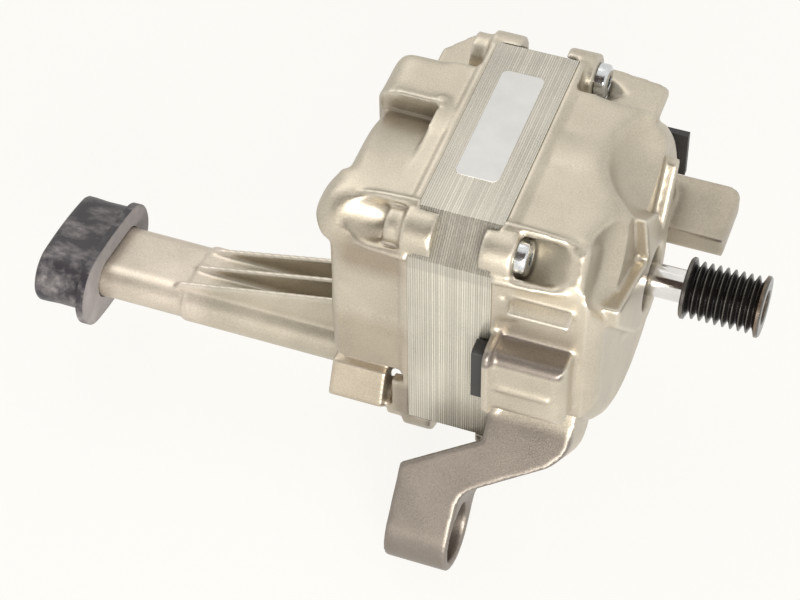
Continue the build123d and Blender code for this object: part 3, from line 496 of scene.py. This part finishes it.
def channelFloor(end, x, s):
    # Floor(x, s) = low line(x) + r - sqrt(r^2 - s^2), a round channel whose radius r and low line rise
    # along x, with steep walls past the share of r that stays round.
    look, sizes = nearTopCorner[end], nearTopCorner
    along = smoothStep(*look["riseSpan"], x)
    r = sizes["channelRound"][0] + along * (sizes["channelRound"][1] - sizes["channelRound"][0])
    inside = np.minimum(np.abs(s), sizes["roundShare"] * r)
    wallRise = sizes["wallSlope"] * np.maximum(np.abs(s) - sizes["roundShare"] * r, 0)
    return look["floor"] + look["rise"] * along + r - np.sqrt(r * r - inside ** 2) + wallRise


def cornerCutter(end, rows=40, columns=61):
    # All that lies between the channel's floor(x, s) and a face outside the shell.
    look, sizes = nearTopCorner[end], nearTopCorner
    x, s = np.meshgrid(np.linspace(*look["span"], rows),
                       np.linspace(-sizes["halfWidth"], sizes["halfWidth"], columns), indexing="ij")
    floor = np.minimum(channelFloor(end, x, s), sizes["outside"] - sizes["outsideGap"])
    outside = np.full_like(x, sizes["outside"])
    return slabSolid(end + "CornerCut", cornerPoint(x, floor, s), cornerPoint(x, outside, s))


def cornerFill(end, rows=30, columns=31):
    # The same floor(x, s) again as the top of a filling, where the plain shell's driver channel lies deeper.
    look, sizes = nearTopCorner[end], nearTopCorner
    x, s = np.meshgrid(np.linspace(*look["fillSpan"], rows),
                       np.linspace(-sizes["fillHalf"], sizes["fillHalf"], columns), indexing="ij")
    floor = np.minimum(channelFloor(end, x, s), sizes["fillTop"])
    inside = np.full_like(x, sizes["inside"])
    return slabSolid(end + "CornerFill", cornerPoint(x, inside, s), cornerPoint(x, floor, s))


def cornerRib(end, flip, stations=24):
    # At the share u of the blade's length: thickness = root + (tip - root) u^2 and
    # height = root + (tip - root) u^3, with a half round crest.
    look = cornerRibs
    start, stop = look[end]
    u = np.linspace(0, 1, stations)[:, None]
    half = (look["thickness"] + (look["tipThickness"] - look["thickness"]) * u ** 2) / 2
    top = look["height"] + (look["tipHeight"] - look["height"]) * u ** 3
    turn = np.linspace(0, math.pi, castShells["crestPoints"])[None, :]
    middle = look["root"] + look["thickness"] / 2
    across = middle + np.concatenate([half, half * np.cos(turn), -half], axis=1)
    foot = np.full((stations, 1), look["foot"])
    height = np.concatenate([foot, top - half + half * np.sin(turn), foot], axis=1)
    x = np.broadcast_to(start + (stop - start) * u, across.shape) + coreMiddle
    return closedGrid(end + "Rib", np.stack([x, -height, across] if flip else [x, -across, height], -1))


def finSolid(number, stations=40):
    # Height(u) = start + (end - start) u above the arm, with a round lead at the free end and a round crest.
    look = armFins
    tilt, away = math.radians(armTilt), (number - 1) * look["spacing"]
    y = armMiddle[0] + away * math.cos(tilt)
    armTop = armMiddle[1] + away * math.sin(tilt) + look["armHalf"]
    start, half = look["starts"][number], look["thickness"] / 2
    u = np.linspace(0, 1, stations)[:, None]
    x = start + (look["end"] - start) * u
    into = np.clip((x - start) / look["lead"], 0, 1)
    top = armTop + look["startHeight"] + (look["endHeight"] - look["startHeight"]) * u
    top = top - look["lead"] * (1 - np.sqrt(1 - (1 - into) ** 2)) * look["leadDrop"]
    turn = np.linspace(0, math.pi, castShells["crestPoints"])[None, :]
    foot, edge = np.full_like(x, armTop - look["sunk"]), np.full_like(x, half)
    across = np.concatenate([edge, half * np.cos(turn) + 0 * x, -edge], axis=1)
    height = np.concatenate([foot, top - half + half * np.sin(turn), foot], axis=1)
    x = np.broadcast_to(x, across.shape) + coreMiddle
    return closedGrid("finSolid", np.stack([x, y + across, height], -1))


def rodSolid(name, profile, middle, segments):
    # A turned body whose axis runs along x through the middle (y, z).
    points = turnedPoints(np.array(profile) + np.array([coreMiddle, 0]), segments) + np.array([0, *middle])
    return solidFrom(name, points, gridFaces(len(profile), segments))


def barSolid(look, arcPoints=6, segments=32):
    # The bar along the scoop's lip, a rod whose ends are quarter arcs: (r (1 - cos t), r sin t).
    turn = np.linspace(0, math.pi / 2, arcPoints)
    ends = look["radius"] * np.stack([1 - np.cos(turn), np.sin(turn)], -1)
    start = np.stack([look["to"] + ends[:, 0], ends[:, 1]], -1)
    stop = np.stack([look["from"] - ends[::-1, 0], ends[::-1, 1]], -1)
    middle = (look["y"], look["z"] - look["radius"])
    return rodSolid("barSolid", np.concatenate([start, stop]), middle, segments)


def postSolid(look, segments=32):
    # The small upright post at the end of the bar: a bevelled profile turned about a line along z.
    r, foot, top, bevel = look["postRadius"], look["postFoot"], look["postTop"], look["postBevel"]
    profile = np.array([[foot, 0], [foot, r], [top - bevel, r], [top, r - bevel], [top, 0]])
    height, x, y = np.moveaxis(turnedPoints(profile, segments), -1, 0)
    points = np.stack([look["postX"] + coreMiddle + x, look["y"] + y, height], -1)
    return solidFrom("postSolid", points, gridFaces(len(profile), segments))


def bossSolid(look, segments=48):
    # The boss at the bottom of the rear channel: a bevelled profile turned about a line along x.
    r, start, end, bevel = look["radius"], look["to"], look["from"], look["bevel"]
    profile = [[start, 0], [start, r - bevel], [start + bevel, r], [end, r], [end, 0]]
    return rodSolid("bossSolid", profile, (-look["place"], look["place"]), segments)


def noseCutter(look, arcPoints=17):
    # What lies outside a quarter round on the top outer edge: the arc's points and the same farther out,
    # both drawn out along y.
    turn = np.linspace(0, math.pi / 2, arcPoints)
    grids = []
    for radius in (look["radius"] + noseRounds["overlap"], look["radius"] + noseRounds["depth"]):
        x = look["x"] + look["radius"] - radius * np.cos(turn) + coreMiddle
        z = look["z"] - look["radius"] + radius * np.sin(turn)
        grids.append(np.stack([np.stack([x, np.full_like(x, y), z], -1) for y in look["span"]]))
    return slabSolid("noseCut", *grids)


def easeMesh(mesh, passes, steps):
    # Each pass moves a point by its step towards the mean of its neighbours, taking the steps in turn.
    count, edgeCount = len(mesh.vertices), len(mesh.edges)
    points = np.empty(count * 3)
    mesh.vertices.foreach_get("co", points)
    points = points.reshape(-1, 3)
    edges = np.empty(edgeCount * 2, dtype=np.int64)
    mesh.edges.foreach_get("vertices", edges)
    one, two = edges.reshape(-1, 2).T
    degree = np.bincount(one, minlength=count) + np.bincount(two, minlength=count)
    steps = steps(points) if callable(steps) else [np.full(count, step) for step in steps]
    for number in range(passes):
        total = [np.bincount(one, values[two], count) + np.bincount(two, values[one], count)
                 for values in points.T]
        mean = np.stack(total, axis=-1) / degree[:, None]
        points = points + steps[number % len(steps)][:, None] * (mean - points)
    mesh.vertices.foreach_set("co", points.ravel())
    mesh.update()


# Where the castings are soft, in mm from the middle of the core. Each pair is the span over which it changes.
softZones = {
    "frontEnd": (20.0, 26.0),
    "frontFace": (41.5, 43.2),
    "frontUpper": (8.0, 14.0),
    "frontLean": 0.35,
    "frontNear": (-43.5, -42.5),
    "frontFar": (24.0, 26.0),
    "frontRibEnd": 34.5,
    "rearEnd": (-26.0, -21.5),
    "rearUpper": (6.0, 14.0),
    "rearFace": (-44.0, -41.5),
    "rearRibEnd": 30.5,
    "lip": 6.5,
    "lipWidth": 2.4,
    "lipCrisp": 0.6,
    "ribLine": 34.3,
    "ribRoom": (2.0, 4.5),
}


def coreCoordinates(points):
    return (points.T - np.array([[coreMiddle], [0], [0]])) / mm


def ribZone(past, y, z):
    # 0 at the blades, growing to 1 with the distance from their lines and from their ends.
    zone = softZones
    beside = np.minimum(np.abs(y + zone["ribLine"]), np.abs(z - zone["ribLine"]))
    return smoothStep(*zone["ribRoom"], np.hypot(beside, np.maximum(past, 0)))


def frontSoftSteps(points):
    # Soft on the end scoops and the top, crisp on the flat, the hood, the webs and the arm.
    x, y, z = coreCoordinates(points)
    zone = softZones
    end = smoothStep(*zone["frontEnd"], x) * (1 - smoothStep(*zone["frontFace"], x))
    upper = smoothStep(*zone["frontUpper"], z + zone["frontLean"] * y) * smoothStep(*zone["frontNear"], y)
    nearSide = 1 - smoothStep(*zone["frontFar"], y)
    return [castShells["softStep"] * end * upper * nearSide * ribZone(x - zone["frontRibEnd"], y, z)]


def rearSoftSteps(points):
    # Soft on the two noses and the scoop, crisp on the ribs, the lip, the arm and the pads.
    x, y, z = coreCoordinates(points)
    zone = softZones
    end = 1 - smoothStep(*zone["rearEnd"], x)
    upper = smoothStep(*zone["rearUpper"], z) * smoothStep(*zone["rearFace"], x)
    lip = np.clip(np.abs(y - zone["lip"]) / zone["lipWidth"] - zone["lipCrisp"], 0, 1)
    return [castShells["softStep"] * end * upper * ribZone(-zone["rearRibEnd"] - x, y, z) * lip]


def editedMesh(mesh, edit):
    work = bmesh.new()
    work.from_mesh(mesh)
    edit(work)
    work.to_mesh(mesh)
    work.free()
    return mesh


def evaluatedMesh(piece):
    return bpy.data.meshes.new_from_object(piece.evaluated_get(bpy.context.evaluated_depsgraph_get()))


def castPiece(node, name, cutters, additions, softSteps):
    # The CAD shell's merged copy, less the cutters and with the additions, as one eased voxel skin.
    mesh = editedMesh(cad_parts[node].data.copy(), lambda work: bmesh.ops.remove_doubles(
        work, verts=work.verts, dist=castShells["weld"]))
    raw = addPiece(name + "Raw", mesh)
    for cutter in cutters:
        cut = raw.modifiers.new("cut", "BOOLEAN")
        cut.operation, cut.solver, cut.object = "DIFFERENCE", "EXACT", cutter
    cast = editedMesh(evaluatedMesh(raw), lambda work: [work.from_mesh(extra.data) for extra in additions])
    raw.modifiers.clear()
    raw.data = cast
    remesh = raw.modifiers.new("skin", "REMESH")
    remesh.mode, remesh.voxel_size, remesh.adaptivity = "VOXEL", castShells["voxel"][node], 0.0
    skin = evaluatedMesh(raw)
    for used in [raw] + cutters + additions:
        bpy.data.objects.remove(used)
    easeMesh(skin, castShells["crispPasses"], castShells["crispSteps"])
    easeMesh(skin, castShells["softPasses"], softSteps)
    skin.name = name
    finishShading(skin, castShells["smoothAngle"])
    piece = addPiece(name, skin)
    dress(piece, "housing", castAluminium)
    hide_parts(node)
    print(name, len(skin.polygons), "quads")


def cornerParts(end):
    return [cornerRib(end, False), cornerRib(end, True), cornerFill(end)]


castPiece("front_shell", "frontCasting", [cornerCutter("front")], cornerParts("front"), frontSoftSteps)
castPiece("rear_shell", "rearCasting",
          [cornerCutter("rear"), noseCutter(noseRounds["near"]), noseCutter(noseRounds["far"])],
          cornerParts("rear") + [bossSolid(cornerBoss), barSolid(scoopBar), postSolid(scoopBar)]
          + [finSolid(number) for number in range(len(armFins["starts"]))], rearSoftSteps)


# Laminated stack: a skin with one shallow groove between neighbouring sheets

sheetStack = {
    "halfAcross": 45.3 * mm,
    "cornerCut": 10.5 * mm,
    "grooveDepth": 0.16 * mm,
    "grooveShare": 0.22,
    "proud": 0.06 * mm,
    "skin": 1.0 * mm,
    "smoothAngle": 20.0,
}


def sheetStackPiece(look):
    # Point(i, k) = octagon corner k moved in by inset_i, at x_i: the inset is 0 on a sheet, one groove depth
    # between two, and the skin's thickness on the way back inside. A corner's z is the y two corners back.
    shares = np.array([0.0, look["grooveShare"] / 2, 1 - look["grooveShare"] / 2])
    x = (np.arange(coreSheetCount)[:, None] + shares) * coreLength / coreSheetCount
    x = np.append(x, [coreLength, coreLength, 0.0, 0.0])[:, None] + coreMiddle - coreLength / 2
    inset = np.tile([look["grooveDepth"], 0.0, 0.0], coreSheetCount)
    inset[0] = 0.0
    half = look["halfAcross"] + look["proud"] - np.append(inset, [0.0, look["skin"], look["skin"], 0.0])
    flat = half - look["cornerCut"]
    y = np.stack([flat, half, half, flat, -flat, -half, -half, -flat], axis=1)
    points = np.stack([np.broadcast_to(x, y.shape), y, np.roll(y, 2, axis=1)], axis=-1)
    piece = solidFrom("coreSheets", points, gridFaces(*y.shape), look["smoothAngle"])
    dress(piece, "housing", coreSteel)


sheetStackPiece(sheetStack)


# Screws: pan heads with a six-lobed recess

lugScrew = {
    "place": 37.3 * mm,
    "seat": 17.5 * mm,
    "shankEnd": -18.3 * mm,
    "shankRadius": 2.45 * mm,
    "headRadius": 5.25 * mm,
    "headHeight": 3.6 * mm,
    "underBevel": 0.25 * mm,
    "edgeRound": 1.1 * mm,
    "crown": 0.12 * mm,
    "crownEdge": 0.5 * mm,
    "recessRadius": 2.15 * mm,
    "recessDepth": 2.1 * mm,
    "recessLead": (0.16 * mm, 0.18 * mm),
    "recessPoint": 0.3 * mm,
    "lobes": 6,
    "lobeDepth": 0.42 * mm,
    "smoothAngle": 32.0,
}


def screwPoints(look, segments=72, arcPoints=7):
    # Radius(i, angle) = profile r_i, less lobeDepth x weight_i x (1 - cos 6 angle) / 2 inside the recess.
    seat, shank, head, recess = look["seat"], look["shankRadius"], look["headRadius"], look["recessRadius"]
    bevel, edge, (leadDepth, leadWidth) = look["underBevel"], look["edgeRound"], look["recessLead"]
    top = seat + look["headHeight"]
    crown = top + look["crown"]
    floor = crown - look["recessDepth"]
    turn = np.linspace(0, math.pi / 2, arcPoints)
    arc = np.stack([top - edge + edge * np.sin(turn), head - edge + edge * np.cos(turn), 0 * turn], axis=-1)
    profile = np.array([
        [look["shankEnd"], 0, 0], [look["shankEnd"], shank, 0], [seat, shank, 0], [seat, head - bevel, 0],
        [seat + bevel, head, 0], *arc, [crown, recess + look["crownEdge"], 0], [crown, recess + leadWidth, 1],
        [crown - leadDepth, recess, 1], [floor, recess, 1], [floor - look["recessPoint"], 0, 0]])
    angle = np.linspace(0, 2 * math.pi, segments, endpoint=False)
    lobes = (1 - np.cos(look["lobes"] * angle)) / 2
    radius = profile[:, 1:2] - look["lobeDepth"] * profile[:, 2:3] * lobes
    x = np.repeat(profile[:, :1], segments, axis=1)
    return np.stack([x, radius * np.cos(angle), radius * np.sin(angle)], axis=-1)


def screwPiece(look):
    # The same screw in each of the four lugs.
    one = screwPoints(look)
    rows, columns = one.shape[:2]
    points, faces = [], []
    for number, (y, z) in enumerate([(-1, 1), (1, 1), (1, -1), (-1, -1)]):
        points.append(one + np.array([coreMiddle, y * look["place"], z * look["place"]]))
        faces.append(gridFaces(rows, columns) + number * rows * columns)
    piece = solidFrom("lugScrews", np.concatenate(points), np.concatenate(faces), look["smoothAngle"])
    dress(piece, "housing", zincSteel)
    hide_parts("housing_screws")


screwPiece(lugScrew)


# Belt pulley and shaft, turned about the x axis

beltPulley = {
    "grooves": 9,
    "pitch": 2.34 * mm,
    "start": 57.7 * mm,
    "flangeWidth": 1.37 * mm,
    "flangeRadius": 9.3 * mm,
    "flangeLean": 0.1 * mm,
    "tipRadius": 8.7 * mm,
    "rootRadius": 6.8 * mm,
    "boreRadius": 5.0 * mm,
    "edgeRound": 0.45 * mm,
    # across one groove: the share of the pitch, and the share of the height from root to tip
    "wave": ((0.035, 1.0), (0.08, 0.95), (0.4, 0.06), (0.46, 0.0),
             (0.54, 0.0), (0.6, 0.06), (0.92, 0.95), (0.965, 1.0)),
    "segments": 128,
    "smoothAngle": 25.0,
}


def pulleyPiece(look):
    # Radius across the belt face: a triangle wave of one pitch, its tips and roots cut to short flats.
    bore, flange, bevel = look["boreRadius"], look["flangeRadius"], look["edgeRound"]
    start = look["start"] + coreMiddle
    first = start + look["flangeWidth"]
    last = first + look["grooves"] * look["pitch"]
    end = last + look["flangeWidth"]
    share, level = np.array(look["wave"]).T
    x = first + (np.arange(look["grooves"])[:, None] + share) * look["pitch"]
    r = np.tile(look["rootRadius"] + level * (look["tipRadius"] - look["rootRadius"]), look["grooves"])
    profile = np.array([
        [start, bore], [start, flange - bevel], [start + bevel, flange], [first - look["flangeLean"], flange],
        *np.stack([x.ravel(), r], axis=-1), [last + look["flangeLean"], flange], [end - bevel, flange],
        [end, flange - bevel], [end, bore + bevel], [end - bevel, bore], [start, bore]])
    piece = turnedPiece("ribbedPulley", profile, look["segments"], look["smoothAngle"])
    dress(piece, "rotor", blackOxide)
    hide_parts("belt_pulley")


rotorShaft = {
    "tail": -36.8 * mm,
    "end": 78.0 * mm,
    "radius": 5.0 * mm,
    "shoulderRadius": 6.6 * mm,
    "shoulderFrom": -27.5 * mm,
    "shoulderTo": 35.5 * mm,
    "chamfer": 0.4 * mm,
    "centreRadius": 1.6 * mm,
    "centreDepth": 1.5 * mm,
    "segments": 96,
    "smoothAngle": 25.0,
}


def shaftPiece(look):
    # Profile (x, r) from the tail to the pulley end, with a drilled centre in the end face.
    tail, low, high, end = [look[key] + coreMiddle for key in ("tail", "shoulderFrom", "shoulderTo", "end")]
    r, shoulder, c = look["radius"], look["shoulderRadius"], look["chamfer"]
    profile = np.array([
        [tail, 0], [tail, r - c], [tail + c, r], [low, r], [low, shoulder], [high, shoulder], [high, r],
        [end - c, r], [end, r - c], [end, look["centreRadius"]], [end - look["centreDepth"], 0]])
    piece = turnedPiece("groundShaft", profile, look["segments"], look["smoothAngle"])
    dress(piece, "rotor", groundSteel)
    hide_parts("shaft")


pulleyPiece(beltPulley)
shaftPiece(rotorShaft)
print("turned pieces made")


# Rubber boot on the long arm

armBoot = {
    "from": -140.0 * mm,
    "to": -121.0 * mm,
    "flangeDepth": 3.0 * mm,
    "edgeRound": 0.9 * mm,
    "body": {"middle": armMiddle, "width": 44.4 * mm, "thickness": 16.5 * mm, "bulge": 2.0 * mm},
    "flange": {"middle": (-15.8 * mm, -38.4 * mm), "width": 49.6 * mm, "thickness": 21.5 * mm,
               "bulge": 2.0 * mm},
    "hole": {"middle": armMiddle, "width": 29.2 * mm, "thickness": 12.2 * mm, "bulge": 0.0},
    # each ring's plane, its place past it, its outline and how far that is drawn in, both in edge rounds
    "rings": (
        ("start", 0.0, "hole", 0.0), ("start", 0.0, "body", 1.2), ("start", 0.3, "body", 0.5),
        ("start", 1.0, "body", 0.0), ("start", 3.0, "body", 0.0), ("start", 8.0, "body", 0.3),
        ("lip", -1.2, "body", 0.2), ("lip", -0.3, "body", -0.1), ("lip", 0.0, "body", -0.8),
        ("lip", 0.0, "flange", 0.6), ("lip", 0.4, "flange", 0.0), ("end", -0.4, "flange", 0.0),
        ("end", 0.0, "flange", 0.6), ("end", 0.0, "hole", -0.5), ("end", -0.5, "hole", 0.0),
        ("start", 0.0, "hole", 0.0)),
    "smoothAngle": 40.0,
}
rubberLook = {
    "color": (0.024, 0.02, 0.026),
    "dustColor": (0.34, 0.315, 0.315),
    "roughness": (0.42, 0.85),
    "stretch": (1.0, 1.6, 0.8),
    "cloudNoise": (85.0, 6.0, 0.62),
    "cloudRange": (0.44, 0.64),
    "scuffNoise": (420.0, 4.0, 0.6),
    "scuffRange": (0.38, 0.68, 0.4, 1.0),
    "faceNoise": (160.0, 5.0, 0.6),
    "faceCloudRange": (0.35, 0.65, 0.75, 1.0),
    "faceRange": (0.6, 0.95),
    "bumpNoise": (900.0, 4.0, 0.6),
    "bumpDistance": 0.2 * mm,
    "bumpStrength": 0.35,
}


def stadium(width, thickness, bulge, count=120):
    # Points round a slot outline by equal steps s of its length, the second half opposite the first,
    # then z x (1 + bulge / radius x (1 - (2 y / width)^2)).
    radius = thickness / 2
    straight = width - thickness
    s = np.linspace(0, straight + math.pi * radius, count // 2, endpoint=False)
    turn = np.maximum(s - straight, 0) / radius
    y = np.minimum(s, straight) - straight / 2 + radius * np.sin(turn)
    z = -radius * np.cos(turn)
    y, z = np.append(y, -y), np.append(z, -z)
    return y, z * (1 + bulge / radius * (1 - (2 * y / width) ** 2))


def bootPiece(look):
    # Point(i, s) = slot outline at s for the width and thickness of ring i, at x_i and turned by the tilt.
    start, end = look["from"] + coreMiddle, look["to"] + coreMiddle
    planes = {"start": start, "lip": end - look["flangeDepth"], "end": end}
    cosine, sine = math.cos(math.radians(armTilt)), math.sin(math.radians(armTilt))
    rings = []
    for plane, along, outline, drawn in look["rings"]:
        part, less = look[outline], 2 * drawn * look["edgeRound"]
        y, z = stadium(part["width"] - less, part["thickness"] - less, part["bulge"])
        x = np.full_like(y, planes[plane] + along * look["edgeRound"])
        rings.append(np.stack([x, part["middle"][0] + y * cosine - z * sine,
                               part["middle"][1] + y * sine + z * cosine], axis=-1))
    piece = solidFrom("armBoot", np.stack(rings), gridFaces(len(rings), len(rings[0])), look["smoothAngle"])
    dress(piece, "housing", dustyRubber(rubberLook))
    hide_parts("arm_bush")


def dustyRubber(look):
    # Black rubber whose dust lies in smudged clouds, and thicker on the faces that look along the arm.
    material, tree, shader = newMaterial("dustyRubber")
    place = objectPlace(tree)
    stretched = addNode(tree, "ShaderNodeMapping", Vector=place, Scale=look["stretch"]).outputs[0]
    cloud = mapRange(tree, noiseNode(tree, stretched, *look["cloudNoise"]), *look["cloudRange"])
    scuff = mapRange(tree, noiseNode(tree, stretched, *look["scuffNoise"]), *look["scuffRange"])
    along = splitVector(tree, tree.nodes.new("ShaderNodeNewGeometry").outputs["Normal"])[0]
    faceCloud = mapRange(tree, noiseNode(tree, place, *look["faceNoise"]), *look["faceCloudRange"])
    faceDust = mathNode(tree, "MULTIPLY", mapRange(tree, along, *look["faceRange"]), faceCloud)
    dust = mathNode(tree, "MAXIMUM", mathNode(tree, "MULTIPLY", cloud, scuff), faceDust)
    color = mixColor(tree, dust, (*look["color"], 1), (*look["dustColor"], 1))
    bump = addNode(tree, "ShaderNodeBump", Distance=look["bumpDistance"], Strength=look["bumpStrength"],
                   Height=noiseNode(tree, place, *look["bumpNoise"]))
    rough = mapRange(tree, dust, 0.0, 1.0, *look["roughness"])
    setInputs(tree, shader, {"Base Color": color, "Roughness": rough, "Normal": bump.outputs[0]})
    return material


bootPiece(armBoot)


# Blank label on the core

blankLabel = {
    "middle": (-0.8 * mm, 1.9 * mm),
    "width": 12.8 * mm,
    "length": 44.3 * mm,
    "corner": 2.0 * mm,
    "bottom": 45.3 * mm,
    "top": 45.5 * mm,
    "proud": 0.08 * mm,
    "bevel": 0.05 * mm,
    "smoothAngle": 30.0,
}
filmLook = {
    "color": (0.8, 0.797, 0.785),
    "patchColor": (0.73, 0.727, 0.715),
    "patchScale": 120.0,
    "patchRange": (0.35, 0.7),
    "roughness": (0.3, 0.42),
}


def labelPiece(look, count=40):
    # Rounded rectangle: each point is a corner centre plus corner x (cos, sin), in three rings up to a bevel.
    turn = (np.arange(count) + 0.5) / count * 2 * math.pi
    cornerX = coreMiddle + look["middle"][0] + np.sign(np.cos(turn)) * (look["width"] / 2 - look["corner"])
    cornerY = look["middle"][1] + np.sign(np.sin(turn)) * (look["length"] / 2 - look["corner"])
    top, bevel = look["top"] + look["proud"], look["bevel"]
    rings = []
    for z, inset in ((look["bottom"], 0.0), (top - bevel, 0.0), (top, bevel)):
        radius = look["corner"] - inset
        rings.append(np.stack([cornerX + radius * np.cos(turn), cornerY + radius * np.sin(turn),
                               np.full(count, z)], axis=-1))
    piece = closedGrid("blankLabel", np.stack(rings), look["smoothAngle"])
    dress(piece, "housing", labelFilm(filmLook))
    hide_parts("rating_label")


def labelFilm(look):
    # White film, a little darker and rougher in soft patches.
    material, tree, shader = newMaterial("labelFilm")
    patch = mapRange(tree, noiseNode(tree, objectPlace(tree), look["patchScale"]), *look["patchRange"])
    color = mixColor(tree, patch, (*look["color"], 1), (*look["patchColor"], 1))
    rough = mapRange(tree, patch, 0.0, 1.0, *look["roughness"])
    setInputs(tree, shader, {"Base Color": color, "Roughness": rough})
    return material


labelPiece(blankLabel)


# CAD nodes that keep their own mesh get these materials

nodeMaterials = {
    "stator_core": coreSteel, "stator_coils": copperWire, "front_insulator": whiteNylon,
    "rear_insulator": whiteNylon, "terminal_block": blackPlastic, "terminal_pins": tinPlate,
    "side_clip": blackPlastic, "wave_washer": bearingSteel, "rotor_core": coreSteel,
    "rotor_magnets": darkFerrite, "rotor_end_plates": tinPlate,
}
bearingMaterials = {
    "outer": bearingSteel, "inner": bearingSteel, "balls": groundSteel, "cage": cagePlastic,
    "shields": bearingSteel,
}
for part, material in bearingMaterials.items():
    for end in ("front", "rear"):
        nodeMaterials[end + "_bearing_" + part] = material
for node, material in nodeMaterials.items():
    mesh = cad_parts[node].data
    if not mesh.materials:
        mesh.materials.append(material)
    for slotNumber in range(len(mesh.materials)):
        mesh.materials[slotNumber] = material
print("nodes dressed")


# Floor, world, screen, lamps and camera

stageLook = {
    "floorColor": (0.93, 0.915, 0.88),
    "floorRoughness": 0.9,
    "floorSize": 6.0,
    "seenShare": 0.9,
    "backColor": (1.0, 0.985, 0.95),
    "worldColor": (1.0, 0.985, 0.96),
    "worldStrength": 0.5,
}
darkScreen = {
    "middle": (0.05, -0.85, 1.0),
    "size": 1.3,
    "color": (0.1, 0.07, 0.06),
    "roughness": 0.95,
}
lampAim = (-0.06, 0, 0)
lamps = {
    "windowLamp": {"place": (-0.5, 0.35, 0.75), "size": (0.6, 0.5), "power": 1.6, "color": (1.0, 0.98, 0.95)},
    "nearLamp": {"place": (0.25, -0.8, 0.25), "size": (0.5, 0.4), "power": 9.0, "color": (1.0, 0.97, 0.92)},
}
photoCamera = {
    "eye": (0.08499, -0.49371, 0.55626),
    "right": (0.9402, 0.3405, -0.0118),
    "up": (-0.2475, 0.7063, 0.6633),
    "back": (0.2341, -0.6207, 0.7483),
    "lens": 114.85,
    "sensor": 36.0,
    "clip": (0.01, 50.0),
}


def seenByCameraOrGloss(tree):
    path = tree.nodes.new("ShaderNodeLightPath")
    first = mathNode(tree, "MAXIMUM", path.outputs["Is Camera Ray"], path.outputs["Is Glossy Ray"])
    return mathNode(tree, "MAXIMUM", first, path.outputs["Is Transmission Ray"])


def stagePiece(name, corners, color, roughness):
    # One flat piece of the stage with a plain material, and what its surface is then mixed from.
    piece = flatPiece(name, corners)
    material, tree, shader = newMaterial(name)
    setInputs(tree, shader, {"Base Color": (*color, 1), "Roughness": roughness})
    piece.data.materials.append(material)
    return tree, shader


def mixedSurface(tree, share, first, second):
    # The surface is the second shader by that share and the first one by the rest.
    mix = setInputs(tree, tree.nodes.new("ShaderNodeMixShader"),
                    {0: share, 1: first.outputs[0], 2: second.outputs[0]})
    setInputs(tree, tree.nodes["Material Output"], {"Surface": mix.outputs[0]})


def floorPiece(look):
    # A wide floor at the part's lowest point, which camera and reflections see mostly as the back colour.
    half, low = look["floorSize"], cadBox[0][2]
    corners = [(-half, -half, low), (half, -half, low), (half, half, low), (-half, half, low)]
    tree, shader = stagePiece("paleFloor", corners, look["floorColor"], look["floorRoughness"])
    glow = addNode(tree, "ShaderNodeEmission", Color=(*look["backColor"], 1), Strength=1.0)
    share = mathNode(tree, "MULTIPLY", seenByCameraOrGloss(tree), look["seenShare"])
    mixedSurface(tree, share, shader, glow)


def screenPiece(look):
    # A dark cloth screen on the photographer's side, which metal mirrors and the camera never sees.
    middle = Vector(look["middle"])
    facing = (Vector((coreMiddle, 0, 0)) - middle).to_track_quat("Z", "Y").to_matrix()
    half = look["size"] / 2
    corners = [middle + facing @ Vector((x, y, 0)) for x, y in
               ((-half, -half), (half, -half), (half, half), (-half, half))]
    tree, shader = stagePiece("darkScreen", corners, look["color"], look["roughness"])
    path = tree.nodes.new("ShaderNodeLightPath")
    mixedSurface(tree, path.outputs["Is Glossy Ray"], tree.nodes.new("ShaderNodeBsdfTransparent"), shader)


def makeWorld(look):
    # Full strength where the camera and reflections see it, and less as a light.
    world = bpy.data.worlds.new("softRoom")
    scene.world = world
    world.use_nodes = True
    tree = world.node_tree
    strength = mapRange(tree, seenByCameraOrGloss(tree), 0.0, 1.0, look["worldStrength"], 1.0)
    setInputs(tree, tree.nodes["Background"], {"Color": (*look["worldColor"], 1), "Strength": strength})


def areaLamp(name, look):
    light = bpy.data.lights.new(name, "AREA")
    light.shape = "RECTANGLE"
    light.size, light.size_y = look["size"]
    light.energy, light.color = look["power"], look["color"]
    lamp = addPiece(name, light)
    lamp.location = look["place"]
    lamp.rotation_mode = "QUATERNION"
    lamp.rotation_quaternion = (Vector(lampAim) - Vector(look["place"])).to_track_quat("-Z", "Y")


def placeCamera(look):
    # The camera fitted to the photo, from its place and its three axes.
    data = bpy.data.cameras.new("photoCamera")
    data.lens, data.sensor_width = look["lens"], look["sensor"]
    data.clip_start, data.clip_end = look["clip"]
    scene.camera = addPiece("photoCamera", data)
    turn = Matrix([look["right"], look["up"], look["back"]]).transposed().to_quaternion().normalized()
    scene.camera.matrix_world = Matrix.Translation(look["eye"]) @ turn.to_matrix().to_4x4()


floorPiece(stageLook)
screenPiece(darkScreen)
makeWorld(stageLook)
for name, look in lamps.items():
    areaLamp(name, look)
placeCamera(photoCamera)
scene.view_settings.view_transform = "Standard"
print("stage and camera made")
